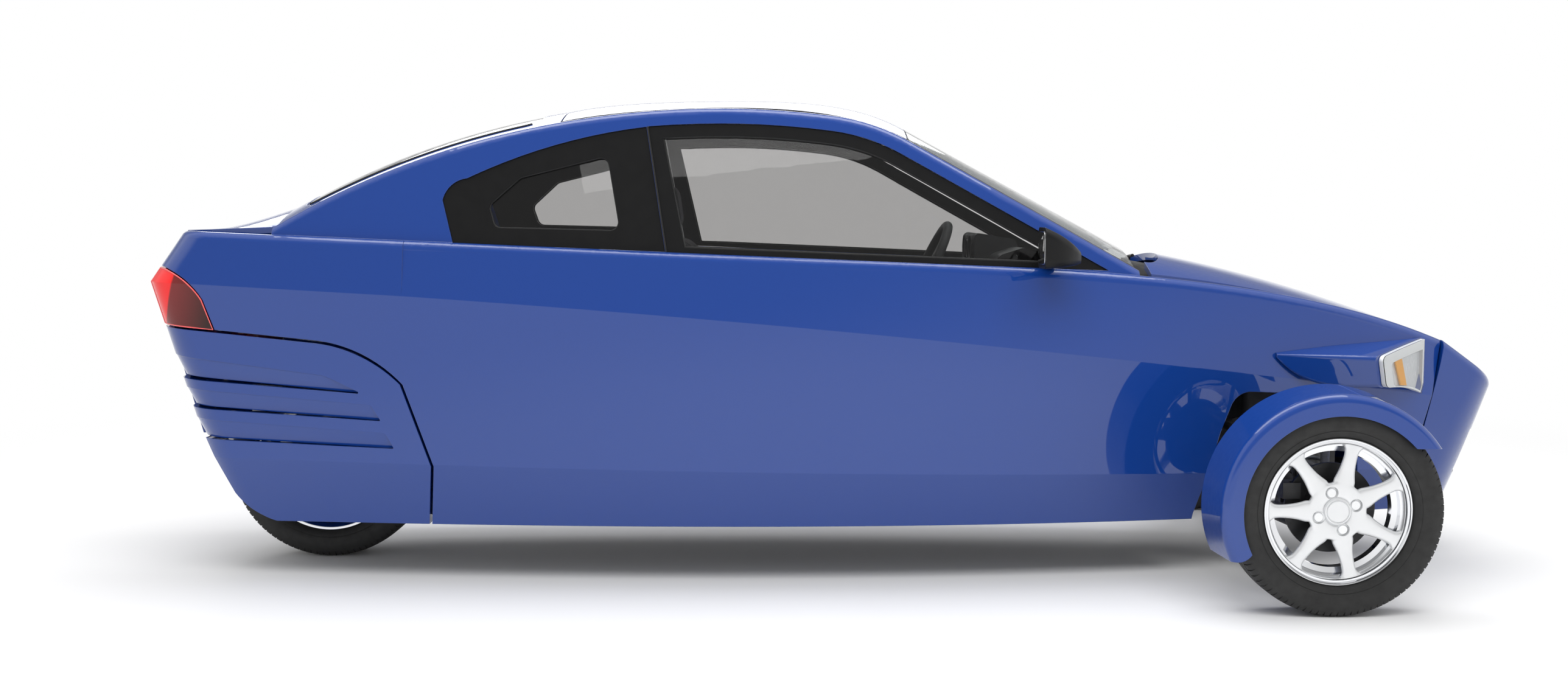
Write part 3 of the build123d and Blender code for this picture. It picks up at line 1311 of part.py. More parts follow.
def plate_panel():
    """Rear panel between the tail corners, with the four holes for a number plate."""
    top_z = line_z("mid", TAIL_END_X) - 3
    top, low = panel_x(top_z) + 1, panel_x(PANEL_LOW_Z) - PANEL_PROUD
    face = Face(Wire.make_polygon([(top, top_z), (low, PANEL_LOW_Z), (low + PANEL_SKIN, PANEL_LOW_Z),
                                   (top + PANEL_SKIN, top_z)]))
    panel = side_prism(face, -REAR_OPEN + SEAT_GAP, REAR_OPEN - SEAT_GAP)
    lean = math.atan((low - top) / (top_z - PANEL_LOW_Z))
    middle = Pos(top + (low - top) * (top_z - PLATE_Z) / (top_z - PANEL_LOW_Z), 0, PLATE_Z)
    square = middle * Rot(0, 90 - math.degrees(lean), 0)
    for y in (-PLATE_W / 2, PLATE_W / 2):
        for rise in (-PLATE_H / 2, PLATE_H / 2):
            panel = panel - square * Pos(rise, y, 0) * Cylinder(PLATE_HOLE_D / 2, 100)
    return panel


def pair(shape):
    """A piece and its mirror image as one node."""
    return Compound([shape, other_side(shape)])


def build():
    """Every piece of the car by name."""
    right, left, quarter, lamp, door = body_sides()
    pieces = {"right_side_panel": right, "left_side_panel": left, "door_shell": door,
              "rear_quarter_panels": pair(quarter), "tail_lamps": pair(lamp),
              "roof_panel": roof_panel(), "windscreen": windscreen(), "cowl_panel": cowl(),
              "wiper": wiper(), "hood": hood(), "rear_plate_panel": plate_panel(),
              "floor_pan": floor_pan(), "firewall": firewall(), "rear_bulkhead": rear_bulkhead(),
              "dashboard": dashboard(), "steering_wheel": steering_wheel(), "engine_block": engine(),
              "front_subframe": subframe(), "steering_rack": rack(), "swing_arm": swing_arm()}
    pieces["hatch_frame"], pieces["hatch_glass"] = hatch()
    pieces["nose_cone"], pieces["nose_grille"] = nose()
    pod, lens = headlamp()
    pieces["headlamp_pods"], pieces["headlamp_lenses"] = pair(pod), pair(lens)
    for name, side in SIDES.items():
        owner = "right_window" if side < 0 else "door_window"
        frame, glass = frame_and_glass(side, window_outline(), window_outline(BORDER))
        pieces[owner + "_frame"], pieces[owner + "_glass"] = frame, glass
        pieces[name + "_mirror"] = mirror_housing(side)
    frame, glass = frame_and_glass(-1, quarter_window_outline(), rounded(QUARTER_GLASS, QUARTER_GLASS_R))
    pieces["quarter_window_frames"], pieces["quarter_window_glass"] = pair(frame), pair(glass)
    for name in SEATS:
        pieces[name] = seat(name)
    pieces["wishbones"] = Compound([wishbone(level, side) for side in SIDES.values() for level in WISHBONES])
    for name, maker in (("front_struts", strut), ("drive_shafts", drive_shaft), ("rear_shocks", rear_shock)):
        pieces[name] = Compound([maker(side) for side in SIDES.values()])
    rubber, disc = tyre(FRONT_TYRE_D, FRONT_TYRE_W, FRONT_RIM_D), brake_disc()
    for name, side in SIDES.items():
        cast = rim(FRONT_RIM_D, FRONT_TYRE_W, -side * LUG_TURN)
        for part, shape in (("front_tyre", rubber), ("front_rim", cast), ("brake_disc", disc)):
            pieces[f"{name}_{part}"] = placed(shape, FRONT_AXLE_X, side * FRONT_TRACK / 2, side, AXLE_Z)
        pieces[name + "_knuckle"] = knuckle(side)
        pieces[name + "_fender"] = fender(side)
    spot = (REAR_AXLE_X, 0, -1, REAR_TYRE_D / 2)
    pin = Rot(90, 0, 0) * Cylinder(REAR_PIN_R + SEAT_GAP, 4 * REAR_TYRE_W)
    pieces["rear_tyre"] = placed(tyre(REAR_TYRE_D, REAR_TYRE_W, REAR_RIM_D), *spot)
    pieces["rear_rim"] = placed(rim(REAR_RIM_D, REAR_TYRE_W, LUG_TURN) - pin, *spot)
    return pieces


if __name__ == "__main__":
    os.makedirs("parts", exist_ok=True)
    for name, shape in build().items():
        export_step(shape, f"parts/{name}.step")
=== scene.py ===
import json
import math
from functools import cache

import bmesh
import bpy
from mathutils import Matrix, Vector


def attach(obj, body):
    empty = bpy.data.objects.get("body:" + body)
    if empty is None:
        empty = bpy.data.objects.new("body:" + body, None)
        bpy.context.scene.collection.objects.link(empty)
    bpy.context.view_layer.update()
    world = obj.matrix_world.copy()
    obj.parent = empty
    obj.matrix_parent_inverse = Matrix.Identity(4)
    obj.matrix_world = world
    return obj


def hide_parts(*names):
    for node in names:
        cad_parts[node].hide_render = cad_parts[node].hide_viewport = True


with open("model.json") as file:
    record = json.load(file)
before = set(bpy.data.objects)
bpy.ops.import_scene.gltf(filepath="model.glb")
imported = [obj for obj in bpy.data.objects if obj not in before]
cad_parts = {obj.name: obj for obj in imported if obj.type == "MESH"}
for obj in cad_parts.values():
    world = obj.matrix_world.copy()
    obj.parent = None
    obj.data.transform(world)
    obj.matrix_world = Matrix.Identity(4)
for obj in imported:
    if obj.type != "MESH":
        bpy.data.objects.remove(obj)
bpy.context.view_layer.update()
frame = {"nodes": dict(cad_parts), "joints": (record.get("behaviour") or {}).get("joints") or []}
NODES = frame["nodes"]
JOINTS = {j["name"]: j for j in frame["joints"]}

bl_info = {
    "name": "Three-Wheeled Car",
    "version": (1, 0, 0),
    "blender": (4, 5, 0),
    "location": "View3D > Sidebar > Car",
    "description": "Dresses the packed car with paint, glass, wheels, lamps and cabin",
    "category": "Add Mesh",
}

RIGHT, LEFT = -1, 1
SIDE_NAMES = {RIGHT: "right", LEFT: "left"}
FRONT_HUB = {side: Vector(JOINTS[SIDE_NAMES[side] + "_front_wheel_spin"]["pos_m"]) for side in SIDE_NAMES}
REAR_HUB = Vector(JOINTS["rear_wheel_spin"]["pos_m"])

# Wheels: tyre radius and half width, rim radius and half width
FRONT_TYRE_R, FRONT_TYRE_HALF, FRONT_RIM_R, FRONT_RIM_HALF = 0.275, 0.070, 0.191, 0.056
REAR_TYRE_R, REAR_TYRE_HALF, REAR_RIM_R, REAR_RIM_HALF = 0.300, 0.0825, 0.218, 0.0685
LUG_COUNT, LUG_R, LUG_TURN = 4, 0.050, math.radians(18)

# Fittings: middle of the plate's panel and the way it looks, its size and bolt spacing;
# middle and size of a mirror's face on the left; dials by place across and radius; vents
PLATE_MIDDLE, PLATE_OUT = Vector((-1.8857, 0, 0.6021)), Vector((-0.96346, 0, -0.26786))
PLATE_SIZE, PLATE_BOLTS = (0.305, 0.152), (0.178, 0.121)
MIRROR_MIDDLE, MIRROR_SIZE = Vector((0.5342, 0.570, 0.9485)), (0.116, 0.088)
DIALS, DIAL_X, DIAL_Z = ((-0.075, 0.040), (0.075, 0.040), (0.0, 0.026)), 0.3985, 0.935
VENT_Y, SLAT_COUNT, SLAT_STEP = 0.24, 5, 0.010
FLOOR_HALF = 40

# Seat pads: what the block gives up to the filling, its corners, cells, pressure and seams
PAD_SHRINK, PAD_CORNER, PAD_CELL = 0.010, 0.026, 0.012
PAD_PRESSURE, PAD_FRAMES, PAD_SWELL = 4, 20, 0.022
SEAM_SHARE, SEAM_PITCH, SEAM_DEPTH, SEAM_WIDTH = 0.62, 0.075, 0.007, 0.007


# Meshes


def link(name, mesh):
    """New object at the origin with its place in its mesh."""
    obj = bpy.data.objects.new(name, mesh)
    bpy.context.scene.collection.objects.link(obj)
    return obj


def mesh_piece(name, verts, faces, angle=30):
    """Object from points and faces, with its normals turned out and its soft edges smooth."""
    mesh = bpy.data.meshes.new(name)
    mesh.from_pydata([tuple(v) for v in verts], [], faces)
    bm = bmesh.new()
    bm.from_mesh(mesh)
    bmesh.ops.remove_doubles(bm, verts=bm.verts, dist=1e-6)
    bmesh.ops.recalc_face_normals(bm, faces=bm.faces)
    bm.to_mesh(mesh)
    bm.free()
    soften(mesh, angle)
    return link(name, mesh)


def soften(mesh, angle=30):
    """Smooth shading with sharp edges above an angle in degrees."""
    for poly in mesh.polygons:
        poly.use_smooth = True
    mesh.set_sharp_from_angle(angle=math.radians(angle))


def baked(obj):
    """Puts the result of an object's modifiers into its own plain mesh."""
    deps = bpy.context.evaluated_depsgraph_get()
    mesh = bpy.data.meshes.new_from_object(obj.evaluated_get(deps))
    old = obj.data
    obj.modifiers.clear()
    obj.data = mesh
    if isinstance(old, bpy.types.Mesh) and old.users == 0:
        bpy.data.meshes.remove(old)
    return obj


def joined(name, parts):
    """One object from several plain meshes, each keeping its materials."""
    bm = bmesh.new()
    materials = []
    for part in parts:
        start = len(bm.faces)
        bm.from_mesh(part.data)
        bm.faces.ensure_lookup_table()
        for face in bm.faces[start:]:
            mat = part.data.materials[face.material_index] if part.data.materials else None
            if mat not in materials:
                materials.append(mat)
            face.material_index = materials.index(mat)
    mesh = bpy.data.meshes.new(name)
    bm.to_mesh(mesh)
    bm.free()
    for mat in materials:
        mesh.materials.append(mat)
    for part in parts:
        bpy.data.objects.remove(part)
    return link(name, mesh)


def turned(name, profile, segments, closed=True, angle=30):
    """Shape turned about the Y axis from points of distance along it and radius."""
    verts, faces = [], []
    n = len(profile)
    for i in range(segments):
        a = 2 * math.pi * i / segments
        for y, r in profile:
            verts.append((r * math.cos(a), y, r * math.sin(a)))
    for i in range(segments):
        j = (i + 1) % segments
        for k in range(n if closed else n - 1):
            m = (k + 1) % n
            faces.append((i * n + k, i * n + m, j * n + m, j * n + k))
    return mesh_piece(name, verts, faces, angle)


def face_loop(node, outward, keep=lambda p: True, limit=0.6):
    """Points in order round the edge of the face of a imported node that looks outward."""
    bm = bmesh.new()
    bm.from_mesh(NODES[node].data)
    bmesh.ops.delete(bm, geom=[v for v in bm.verts if not keep(v.co)], context="VERTS")
    bmesh.ops.remove_doubles(bm, verts=bm.verts, dist=1e-5)
    out = Vector(outward).normalized()
    near = {}
    for edge in bm.edges:
        facing = [face.normal.dot(out) > limit for face in edge.link_faces]
        if any(facing) and not all(facing):
            for a, b in (edge.verts, reversed(edge.verts)):
                near.setdefault(a, []).append(b)
    loops = []
    while near:
        loop = [next(iter(near))]
        while True:
            steps = [v for v in near.pop(loop[-1], ()) if v in near]
            if not steps:
                break
            loop.append(steps[0])
        loops.append([v.co.copy() for v in loop])
    bm.free()
    return max(loops, key=len)


def path_object(points, closed=True, lengthwise=False):
    """Edges along points, for a bead to follow; lengthwise leaves out those that cross the car."""
    mesh = bpy.data.meshes.new("path")
    count = len(points)
    edges = [(i, (i + 1) % count) for i in range(count if closed else count - 1)]
    if lengthwise:
        edges = [(a, b) for a, b in edges
                 if abs(points[b].y - points[a].y) < 0.5 * (points[b] - points[a]).length]
    mesh.from_pydata(points, edges, [])
    return link("path", mesh)


def slab(name, outline, depth, edge=0.0, angle=30):
    """Plate from a flat outline of points, thickened along a vector, with its rims rounded."""
    count = len(outline)
    verts = list(outline) + [p + depth for p in outline]
    faces = [tuple(range(count)), tuple(range(count, 2 * count))]
    faces += [(i, (i + 1) % count, count + (i + 1) % count, count + i) for i in range(count)]
    obj = mesh_piece(name, verts, faces, angle)
    if edge:
        bevel = obj.modifiers.new("edge", "BEVEL")
        bevel.width, bevel.segments, bevel.limit_method = edge, 3, "ANGLE"
        bevel.angle_limit = math.radians(50)
        baked(obj)
        soften(obj.data, 40)
    return obj


def rounded_box(width, height, radius, steps=5):
    """Corner-rounded rectangle as pairs of offsets about its middle."""
    points = []
    for k, (sx, sy) in enumerate(((1, 1), (-1, 1), (-1, -1), (1, -1))):
        for i in range(steps + 1):
            a = math.pi / 2 * (k + i / steps)
            points.append((sx * (width / 2 - radius) + radius * math.cos(a),
                           sy * (height / 2 - radius) + radius * math.sin(a)))
    return points


def hex_head(radius, height):
    """Chamfered hexagon head standing along +Y from the origin."""
    profile = [(0, 0.0), (0, radius), (height * 0.8, radius), (height, radius * 0.82), (height, 0.0)]
    return turned("head", profile, 6, closed=False, angle=20)


def at_hub(obj, hub, side):
    """Moves a wheel piece made about the Y axis, with +Y outward, to its hub."""
    turn = Matrix.Identity(4) if side > 0 else Matrix.Rotation(math.pi, 4, "Z")
    obj.data.transform(Matrix.Translation(hub) @ turn)
    return obj


def dress(obj, body, material=None, replaces=()):
    """Gives a finished piece its material and body, and hides the imported parts it replaces."""
    if material is not None:
        obj.data.materials.clear()
        obj.data.materials.append(material)
    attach(obj, body)
    if replaces:
        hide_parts(*replaces)
    return obj


def paint_nodes(material, *names):
    """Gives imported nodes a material."""
    for name in names:
        mesh = NODES[name].data
        mesh.materials.clear()
        mesh.materials.append(material)


# Node trees


def tree(name, inputs):
    """New node tree with named inputs and one geometry output."""
    group = bpy.data.node_groups.new(name, "GeometryNodeTree")
    for label, kind in inputs:
        group.interface.new_socket(label, in_out="INPUT", socket_type="NodeSocket" + kind)
    group.interface.new_socket("Geometry", in_out="OUTPUT", socket_type="NodeSocketGeometry")
    return group, group.nodes.new("NodeGroupInput").outputs


def wired(group, kind, *wires, **settings):
    """New node with its settings made and sockets linked to the named inputs."""
    node = group.nodes.new(kind)
    for key, value in settings.items():
        setattr(node, key, value)
    for socket, source in wires:
        if hasattr(source, "is_output"):
            group.links.new(source, node.inputs[socket])
        else:
            node.inputs[socket].default_value = source
    return node.outputs


def closing(group, geometry, material):
    """Ends a tree with real geometry that carries its material."""
    real = wired(group, "GeometryNodeRealizeInstances", ("Geometry", geometry))[0]
    welded = wired(group, "GeometryNodeMergeByDistance", ("Geometry", real), ("Distance", 4e-5))[0]
    finished = wired(group, "GeometryNodeSetMaterial", ("Geometry", welded), ("Material", material))[0]
    output = group.nodes.new("NodeGroupOutput")
    group.links.new(finished, output.inputs["Geometry"])
    return group


def ring_tree():
    """A piece set round the Y axis a number of times, with its seams joined."""
    group, given = tree("ring", (("Piece", "Object"), ("Count", "Int"), ("Turn", "Float"),
                                 ("Material", "Material")))
    points = wired(group, "GeometryNodeMeshLine", ("Count", given["Count"]), ("Offset", (0, 0, 0)))[0]
    piece = wired(group, "GeometryNodeObjectInfo", ("Object", given["Piece"]))["Geometry"]
    index = wired(group, "GeometryNodeInputIndex")[0]
    step = wired(group, "ShaderNodeMath", (0, 2 * math.pi), (1, given["Count"]), operation="DIVIDE")[0]
    angle = wired(group, "ShaderNodeMath", (0, index), (1, step), (2, given["Turn"]),
                  operation="MULTIPLY_ADD")[0]
    euler = wired(group, "ShaderNodeCombineXYZ", ("Y", angle))[0]
    turn = wired(group, "FunctionNodeEulerToRotation", (0, euler))[0]
    copies = wired(group, "GeometryNodeInstanceOnPoints", ("Points", points), ("Instance", piece),
                   ("Rotation", turn))
    return closing(group, copies[0], given["Material"])


def row_tree():
    """A piece set in a straight row."""
    group, given = tree("row", (("Piece", "Object"), ("Count", "Int"), ("Step", "Vector"),
                                ("Material", "Material")))
    points = wired(group, "GeometryNodeMeshLine", ("Count", given["Count"]), ("Offset", given["Step"]))[0]
    piece = wired(group, "GeometryNodeObjectInfo", ("Object", given["Piece"]))["Geometry"]
    copies = wired(group, "GeometryNodeInstanceOnPoints", ("Points", points), ("Instance", piece))
    return closing(group, copies[0], given["Material"])


def coil_tree():
    """Round wire wound up the Z axis."""
    group, given = tree("coil", (("Turns", "Float"), ("Radius", "Float"), ("Height", "Float"),
                                 ("Wire", "Float"), ("Material", "Material")))
    spiral = wired(group, "GeometryNodeCurveSpiral", ("Resolution", 28), ("Rotations", given["Turns"]),
                   ("Start Radius", given["Radius"]), ("End Radius", given["Radius"]),
                   ("Height", given["Height"]))[0]
    ring = wired(group, "GeometryNodeCurvePrimitiveCircle", ("Resolution", 10), ("Radius", given["Wire"]))[0]
    wire = wired(group, "GeometryNodeCurveToMesh", ("Curve", spiral), ("Profile Curve", ring),
                 ("Fill Caps", True))[0]
    return closing(group, wire, given["Material"])


def bead_tree():
    """Round bead along the edges of a path."""
    group, given = tree("bead", (("Path", "Object"), ("Radius", "Float"), ("Material", "Material")))
    path = wired(group, "GeometryNodeObjectInfo", ("Object", given["Path"]))["Geometry"]
    curve = wired(group, "GeometryNodeMeshToCurve", ("Mesh", path))[0]
    ring = wired(group, "GeometryNodeCurvePrimitiveCircle", ("Resolution", 8), ("Radius", given["Radius"]))[0]
    bead = wired(group, "GeometryNodeCurveToMesh", ("Curve", curve), ("Profile Curve", ring),
                 ("Fill Caps", True))[0]
    return closing(group, bead, given["Material"])


def bead_piece(name, path, radius, material):
    """Bead of a named finish along a path."""
    return grown(name, bead_tree, 60, path=path, radius=radius, material=finish(material))


def grown(name, make, angle=40, **values):
    """Piece grown by a node tree, as a plain mesh; source objects given to it are used up."""
    group = make()
    obj = link(name, bpy.data.meshes.new(name))
    modifier = obj.modifiers.new("grow", "NODES")
    modifier.node_group = group
    for item in group.interface.items_tree:
        if item.in_out == "INPUT":
            modifier[item.identifier] = values[item.name.lower()]
    baked(obj)
    for value in values.values():
        if isinstance(value, bpy.types.Object):
            bpy.data.objects.remove(value)
    bpy.data.node_groups.remove(group)
    soften(obj.data, angle)
    return obj


# Materials


def shader(name, color, roughness, metallic=0.0, **sockets):
    """Principled material with its even values on the shader's own sockets."""
    mat = bpy.data.materials.new(name)
    mat.use_nodes = True
    principled = mat.node_tree.nodes["Principled BSDF"]
    principled.inputs["Base Color"].default_value = (*color, 1)
    principled.inputs["Roughness"].default_value = roughness
    principled.inputs["Metallic"].default_value = metallic
    for socket, value in sockets.items():
        principled.inputs[socket.replace("_", " ")].default_value = value
    return mat


def noise(mat, scale, detail=3.0, stretch=(1, 1, 1)):
    """Noise over Object coordinates, as the socket to read it from."""
    net = mat.node_tree
    coords = wired(net, "ShaderNodeTexCoord")["Object"]
    place = wired(net, "ShaderNodeMapping", ("Vector", coords), ("Scale", stretch))[0]
    return wired(net, "ShaderNodeTexNoise", ("Vector", place), ("Scale", scale), ("Detail", detail))["Fac"]


def vary(mat, texture, socket, low, high):
    """Drives a shader socket between two values by a texture."""
    net = mat.node_tree
    if isinstance(low, tuple):
        ramp = wired(net, "ShaderNodeMix", ("A", (*low, 1)), ("B", (*high, 1)), ("Factor", texture),
                     data_type="RGBA")
    else:
        ramp = wired(net, "ShaderNodeMapRange", ("Value", texture), ("From Min", 0.3), ("From Max", 0.7),
                     ("To Min", low), ("To Max", high))
    net.links.new(ramp["Result"], net.nodes["Principled BSDF"].inputs[socket])


def bump(mat, height, strength, distance, edge=0.0):
    """Bump from a height socket, with the shading of sharp edges rounded off by a radius."""
    net = mat.node_tree
    shade = net.nodes["Principled BSDF"].inputs
    wires = [("Strength", strength), ("Distance", distance), ("Height", height)]
    if edge:
        rounded = wired(net, "ShaderNodeBevel", ("Radius", edge), samples=4)[0]
        wires.append(("Normal", rounded))
        net.links.new(rounded, shade["Coat Normal"])
    net.links.new(wired(net, "ShaderNodeBump", *wires)[0], shade["Normal"])


# Even values by socket. tone and rough are the noise that varies the colour or the roughness
# and its two ends; grain is the noise of the bumps, their strength, depth and edge radius.
FINISHES = {
    # Trim with a fine moulded grain
    "satin_black": dict(color=(0.008, 0.008, 0.0083), roughness=0.4, Specular_IOR_Level=0.2,
                        rough=((30,), 0.34, 0.46), grain=((1500, 2), 0.12, 0.0003, 0.0015)),
    # Window seals
    "seal_rubber": dict(color=(0.012, 0.012, 0.012), roughness=0.62,
                        rough=((120,), 0.55, 0.72), grain=((900, 2), 0.15, 0.0003)),
    # Tyres with a dusty bloom
    "tyre_rubber": dict(color=(0.03, 0.03, 0.03), roughness=0.7,
                        tone=((14,), (0.014, 0.014, 0.014), (0.022, 0.022, 0.0215)),
                        rough=((45,), 0.6, 0.78), grain=((700, 3), 0.12, 0.0005)),
    # Machined and lacquered wheel nuts
    "bright_alloy": dict(color=(0.86, 0.87, 0.88), roughness=0.22, metallic=1.0,
                         rough=((90, 2), 0.17, 0.27), grain=((1200, 2), 0.03, 0.0002)),
    # Barrel of the rim
    "rim_chrome": dict(color=(0.82, 0.83, 0.85), roughness=0.06, metallic=1.0, rough=((40, 2), 0.04, 0.1)),
    # Spokes
    "satin_silver": dict(color=(0.8, 0.81, 0.82), roughness=0.3, metallic=0.6,
                         Coat_Weight=0.5, Coat_Roughness=0.1,
                         tone=((900, 2), (0.77, 0.78, 0.79), (0.83, 0.84, 0.85)),
                         rough=((70, 2), 0.30, 0.40), grain=((1400, 2), 0.04, 0.0002)),
    # Running gear
    "coated_steel": dict(color=(0.03, 0.03, 0.032), roughness=0.45, metallic=0.2,
                         rough=((70,), 0.38, 0.58), grain=((600, 2), 0.15, 0.0004)),
    "spring_coat": dict(color=(0.05, 0.055, 0.065), roughness=0.4,
                        rough=((200,), 0.32, 0.5), grain=((900, 2), 0.2, 0.0003)),
    "disc_iron": dict(color=(0.03, 0.03, 0.032), roughness=0.4, metallic=0.6,
                      rough=((160, 2), 0.3, 0.5), grain=((900, 1), 0.08, 0.0003)),
    "cast_metal": dict(color=(0.16, 0.16, 0.17), roughness=0.6, metallic=0.7,
                       tone=((25,), (0.11, 0.11, 0.12), (0.2, 0.2, 0.21)), grain=((260, 4), 0.5, 0.0012)),
    "zinc": dict(color=(0.5, 0.5, 0.5), roughness=0.35, metallic=0.9, rough=((400, 2), 0.25, 0.45)),
    # Cabin
    "grained_plastic": dict(color=(0.028, 0.028, 0.03), roughness=0.6,
                            rough=((40,), 0.52, 0.68), grain=((1100, 3), 0.3, 0.0006)),
    "woven_cloth": dict(color=(0.05, 0.05, 0.055), roughness=0.9, Sheen_Weight=0.25,
                        tone=((35,), (0.035, 0.035, 0.04), (0.06, 0.06, 0.066)),
                        grain=((1600, 2, (1, 1, 2.4)), 0.5, 0.0008)),
    "floor_coat": dict(color=(0.03, 0.031, 0.033), roughness=0.7,
                       tone=((18,), (0.024, 0.025, 0.027), (0.04, 0.041, 0.043)),
                       grain=((320, 4), 0.4, 0.001)),
    # Glass and mirrors
    "screen_glass": dict(color=(0.8, 0.83, 0.83), roughness=0.0, Transmission_Weight=1.0, IOR=1.45,
                         rough=((8,), 0.0, 0.012)),
    "mirror_silver": dict(color=(0.86, 0.87, 0.88), roughness=0.02, metallic=1.0, rough=((30,), 0.01, 0.035)),
    # Lamps
    "frosted_white": dict(color=(0.82, 0.83, 0.84), roughness=0.3, Coat_Weight=0.6, Coat_Roughness=0.05,
                          tone=((300, 2), (0.79, 0.80, 0.81), (0.85, 0.86, 0.87)),
                          grain=((2200, 1), 0.1, 0.0002)),
    "lamp_reflector": dict(color=(0.62, 0.63, 0.65), roughness=0.25, metallic=0.3,
                           rough=((500, 2, (1, 1, 0.1)), 0.12, 0.3),
                           grain=((260, 1, (1, 1, 0.05)), 0.25, 0.001)),
    "lamp_amber": dict(color=(1.0, 0.42, 0.004), roughness=0.4, Specular_IOR_Level=0.1,
                       tone=((400, 2), (1.0, 0.38, 0.003), (1.0, 0.47, 0.006)),
                       grain=((700, 1, (1, 1, 0.2)), 0.2, 0.0005)),
    "lamp_cover": dict(color=(0.97, 0.98, 0.98), roughness=0.01, Transmission_Weight=1.0, IOR=1.3,
                       rough=((40,), 0.0, 0.02)),
    "lamp_edge": dict(color=(0.85, 0.1, 0.1), roughness=0.15, Coat_Weight=0.8,
                      grain=((300, 1), 0.05, 0.0003)),
    # Enamel of the blank plate
    "plate_white": dict(color=(0.74, 0.74, 0.72), roughness=0.35, Coat_Weight=0.3,
                        tone=((50,), (0.70, 0.70, 0.68), (0.77, 0.77, 0.75)), grain=((400, 2), 0.08, 0.0003)),
}


@cache
def finish(name):
    """Material of a row in FINISHES."""
    even = dict(FINISHES[name])
    tone, rough, grain = (even.pop(key, None) for key in ("tone", "rough", "grain"))
    mat = shader(name, **even)
    for socket, change in (("Base Color", tone), ("Roughness", rough)):
        if change:
            texture, low, high = change
            vary(mat, noise(mat, *texture), socket, low, high)
    if grain:
        texture, *depth = grain
        bump(mat, noise(mat, *texture), *depth)
    return mat


def body_paint(settings):
    """Blue paint under a clear coat, with faint flake and orange peel."""
    base = tuple(settings.colour)
    mat = shader("body_paint", base, 0.4, Coat_Weight=1.0, Coat_Roughness=0.02, Coat_IOR=1.62,
                 Specular_IOR_Level=0.1)
    vary(mat, noise(mat, 1800, 1), "Base Color", tuple(c * 0.94 for c in base), tuple(c * 1.06 for c in base))
    vary(mat, noise(mat, 60), "Roughness", 0.36, 0.44)
    bump(mat, noise(mat, 420, 2), 0.03, 0.0004, 0.003)
    return mat


def tinted_glass(settings):
    """Grey tinted side glass."""
    tint = settings.tint
    mat = shader("grey_glass", (tint, tint * 0.992, tint * 0.985), 0.0, Transmission_Weight=1.0, IOR=1.45)
    vary(mat, noise(mat, 8), "Roughness", 0.0, 0.012)
    return mat


def tail_red():
    """Red lens, painted bright at the back for the light reflected inside the lamp, and darker along the side
    towards the front.
    """
    mat = shader("tail_red", (0.8, 0.03, 0.03), 0.2, Coat_Weight=0.5, Coat_Roughness=0.02,
                 Specular_IOR_Level=0.1)
    net = mat.node_tree
    coords = wired(net, "ShaderNodeTexCoord")["Object"]
    along = wired(net, "ShaderNodeVectorMath", (0, coords), (1, (1.0, 0.0, -0.28)),
                  operation="DOT_PRODUCT")["Value"]
    # Painted reflection: the back of the lamp gets a brighter red for the light reflected inside it.
    reflection_zone, depth = (wired(net, "ShaderNodeMapRange", ("Value", along), ("From Min", low),
                         ("From Max", high))["Result"]
                   for low, high in ((-2.114, -2.109), (-2.11, -1.98)))
    # The side's red grows darker towards the front.
    darker_side = wired(net, "ShaderNodeMix", ("A", (0.2, 0.028, 0.028, 1)), ("B", (0.03, 0.012, 0.011, 1)),
                  ("Factor", depth), data_type="RGBA")["Result"]
    red_with_reflection = wired(net, "ShaderNodeMix", ("A", (0.9, 0.03, 0.03, 1)), ("B", darker_side), ("Factor", reflection_zone),
                 data_type="RGBA")["Result"]
    net.links.new(red_with_reflection, net.nodes["Principled BSDF"].inputs["Base Color"])
    bump(mat, noise(mat, 220, 1, (1, 0.1, 1)), 0.06, 0.0006)
    return mat


# Settings


class PaintSettings(bpy.types.PropertyGroup):
    """Colours of the body and the glass."""

    colour: bpy.props.FloatVectorProperty(
        name="Body Colour", description="Blue of the body paint", subtype="COLOR", size=3, min=0, max=1,
        default=(0.004, 0.042, 0.25))
    tint: bpy.props.FloatProperty(
        name="Glass Tint", description="Light that one side window lets through", subtype="FACTOR",
        min=0, max=1, default=0.62)


class WheelSettings(bpy.types.PropertyGroup):
    """Sizes of the wheels and tyres."""

    spokes: bpy.props.IntProperty(
        name="Spokes", description="Number of spokes in each wheel", min=3, max=12, default=7)
    spoke_width: bpy.props.FloatProperty(
        name="Spoke Width", description="Width of a spoke at the rim", unit="LENGTH", default=0.036)
    treads: bpy.props.IntProperty(
        name="Tread Blocks", description="Blocks round each tyre's shoulder", min=24, max=120, default=96)


class StageSettings(bpy.types.PropertyGroup):
    """Camera and light."""

    camera_place: bpy.props.FloatVectorProperty(
        name="Camera", description="Place of the camera", subtype="TRANSLATION", unit="LENGTH", size=3,
        default=(-0.1615, -5.0, 1.0447))
    camera_dip: bpy.props.FloatProperty(
        name="Camera Dip", description="Angle of the camera below level", subtype="ANGLE",
        default=math.radians(4.437))
    lens: bpy.props.FloatProperty(name="Lens", description="Focal length on a 36 mm sensor", default=37.7)
    sky: bpy.props.FloatProperty(name="Sky", description="Strength of the even light", default=0.75)


# Pieces


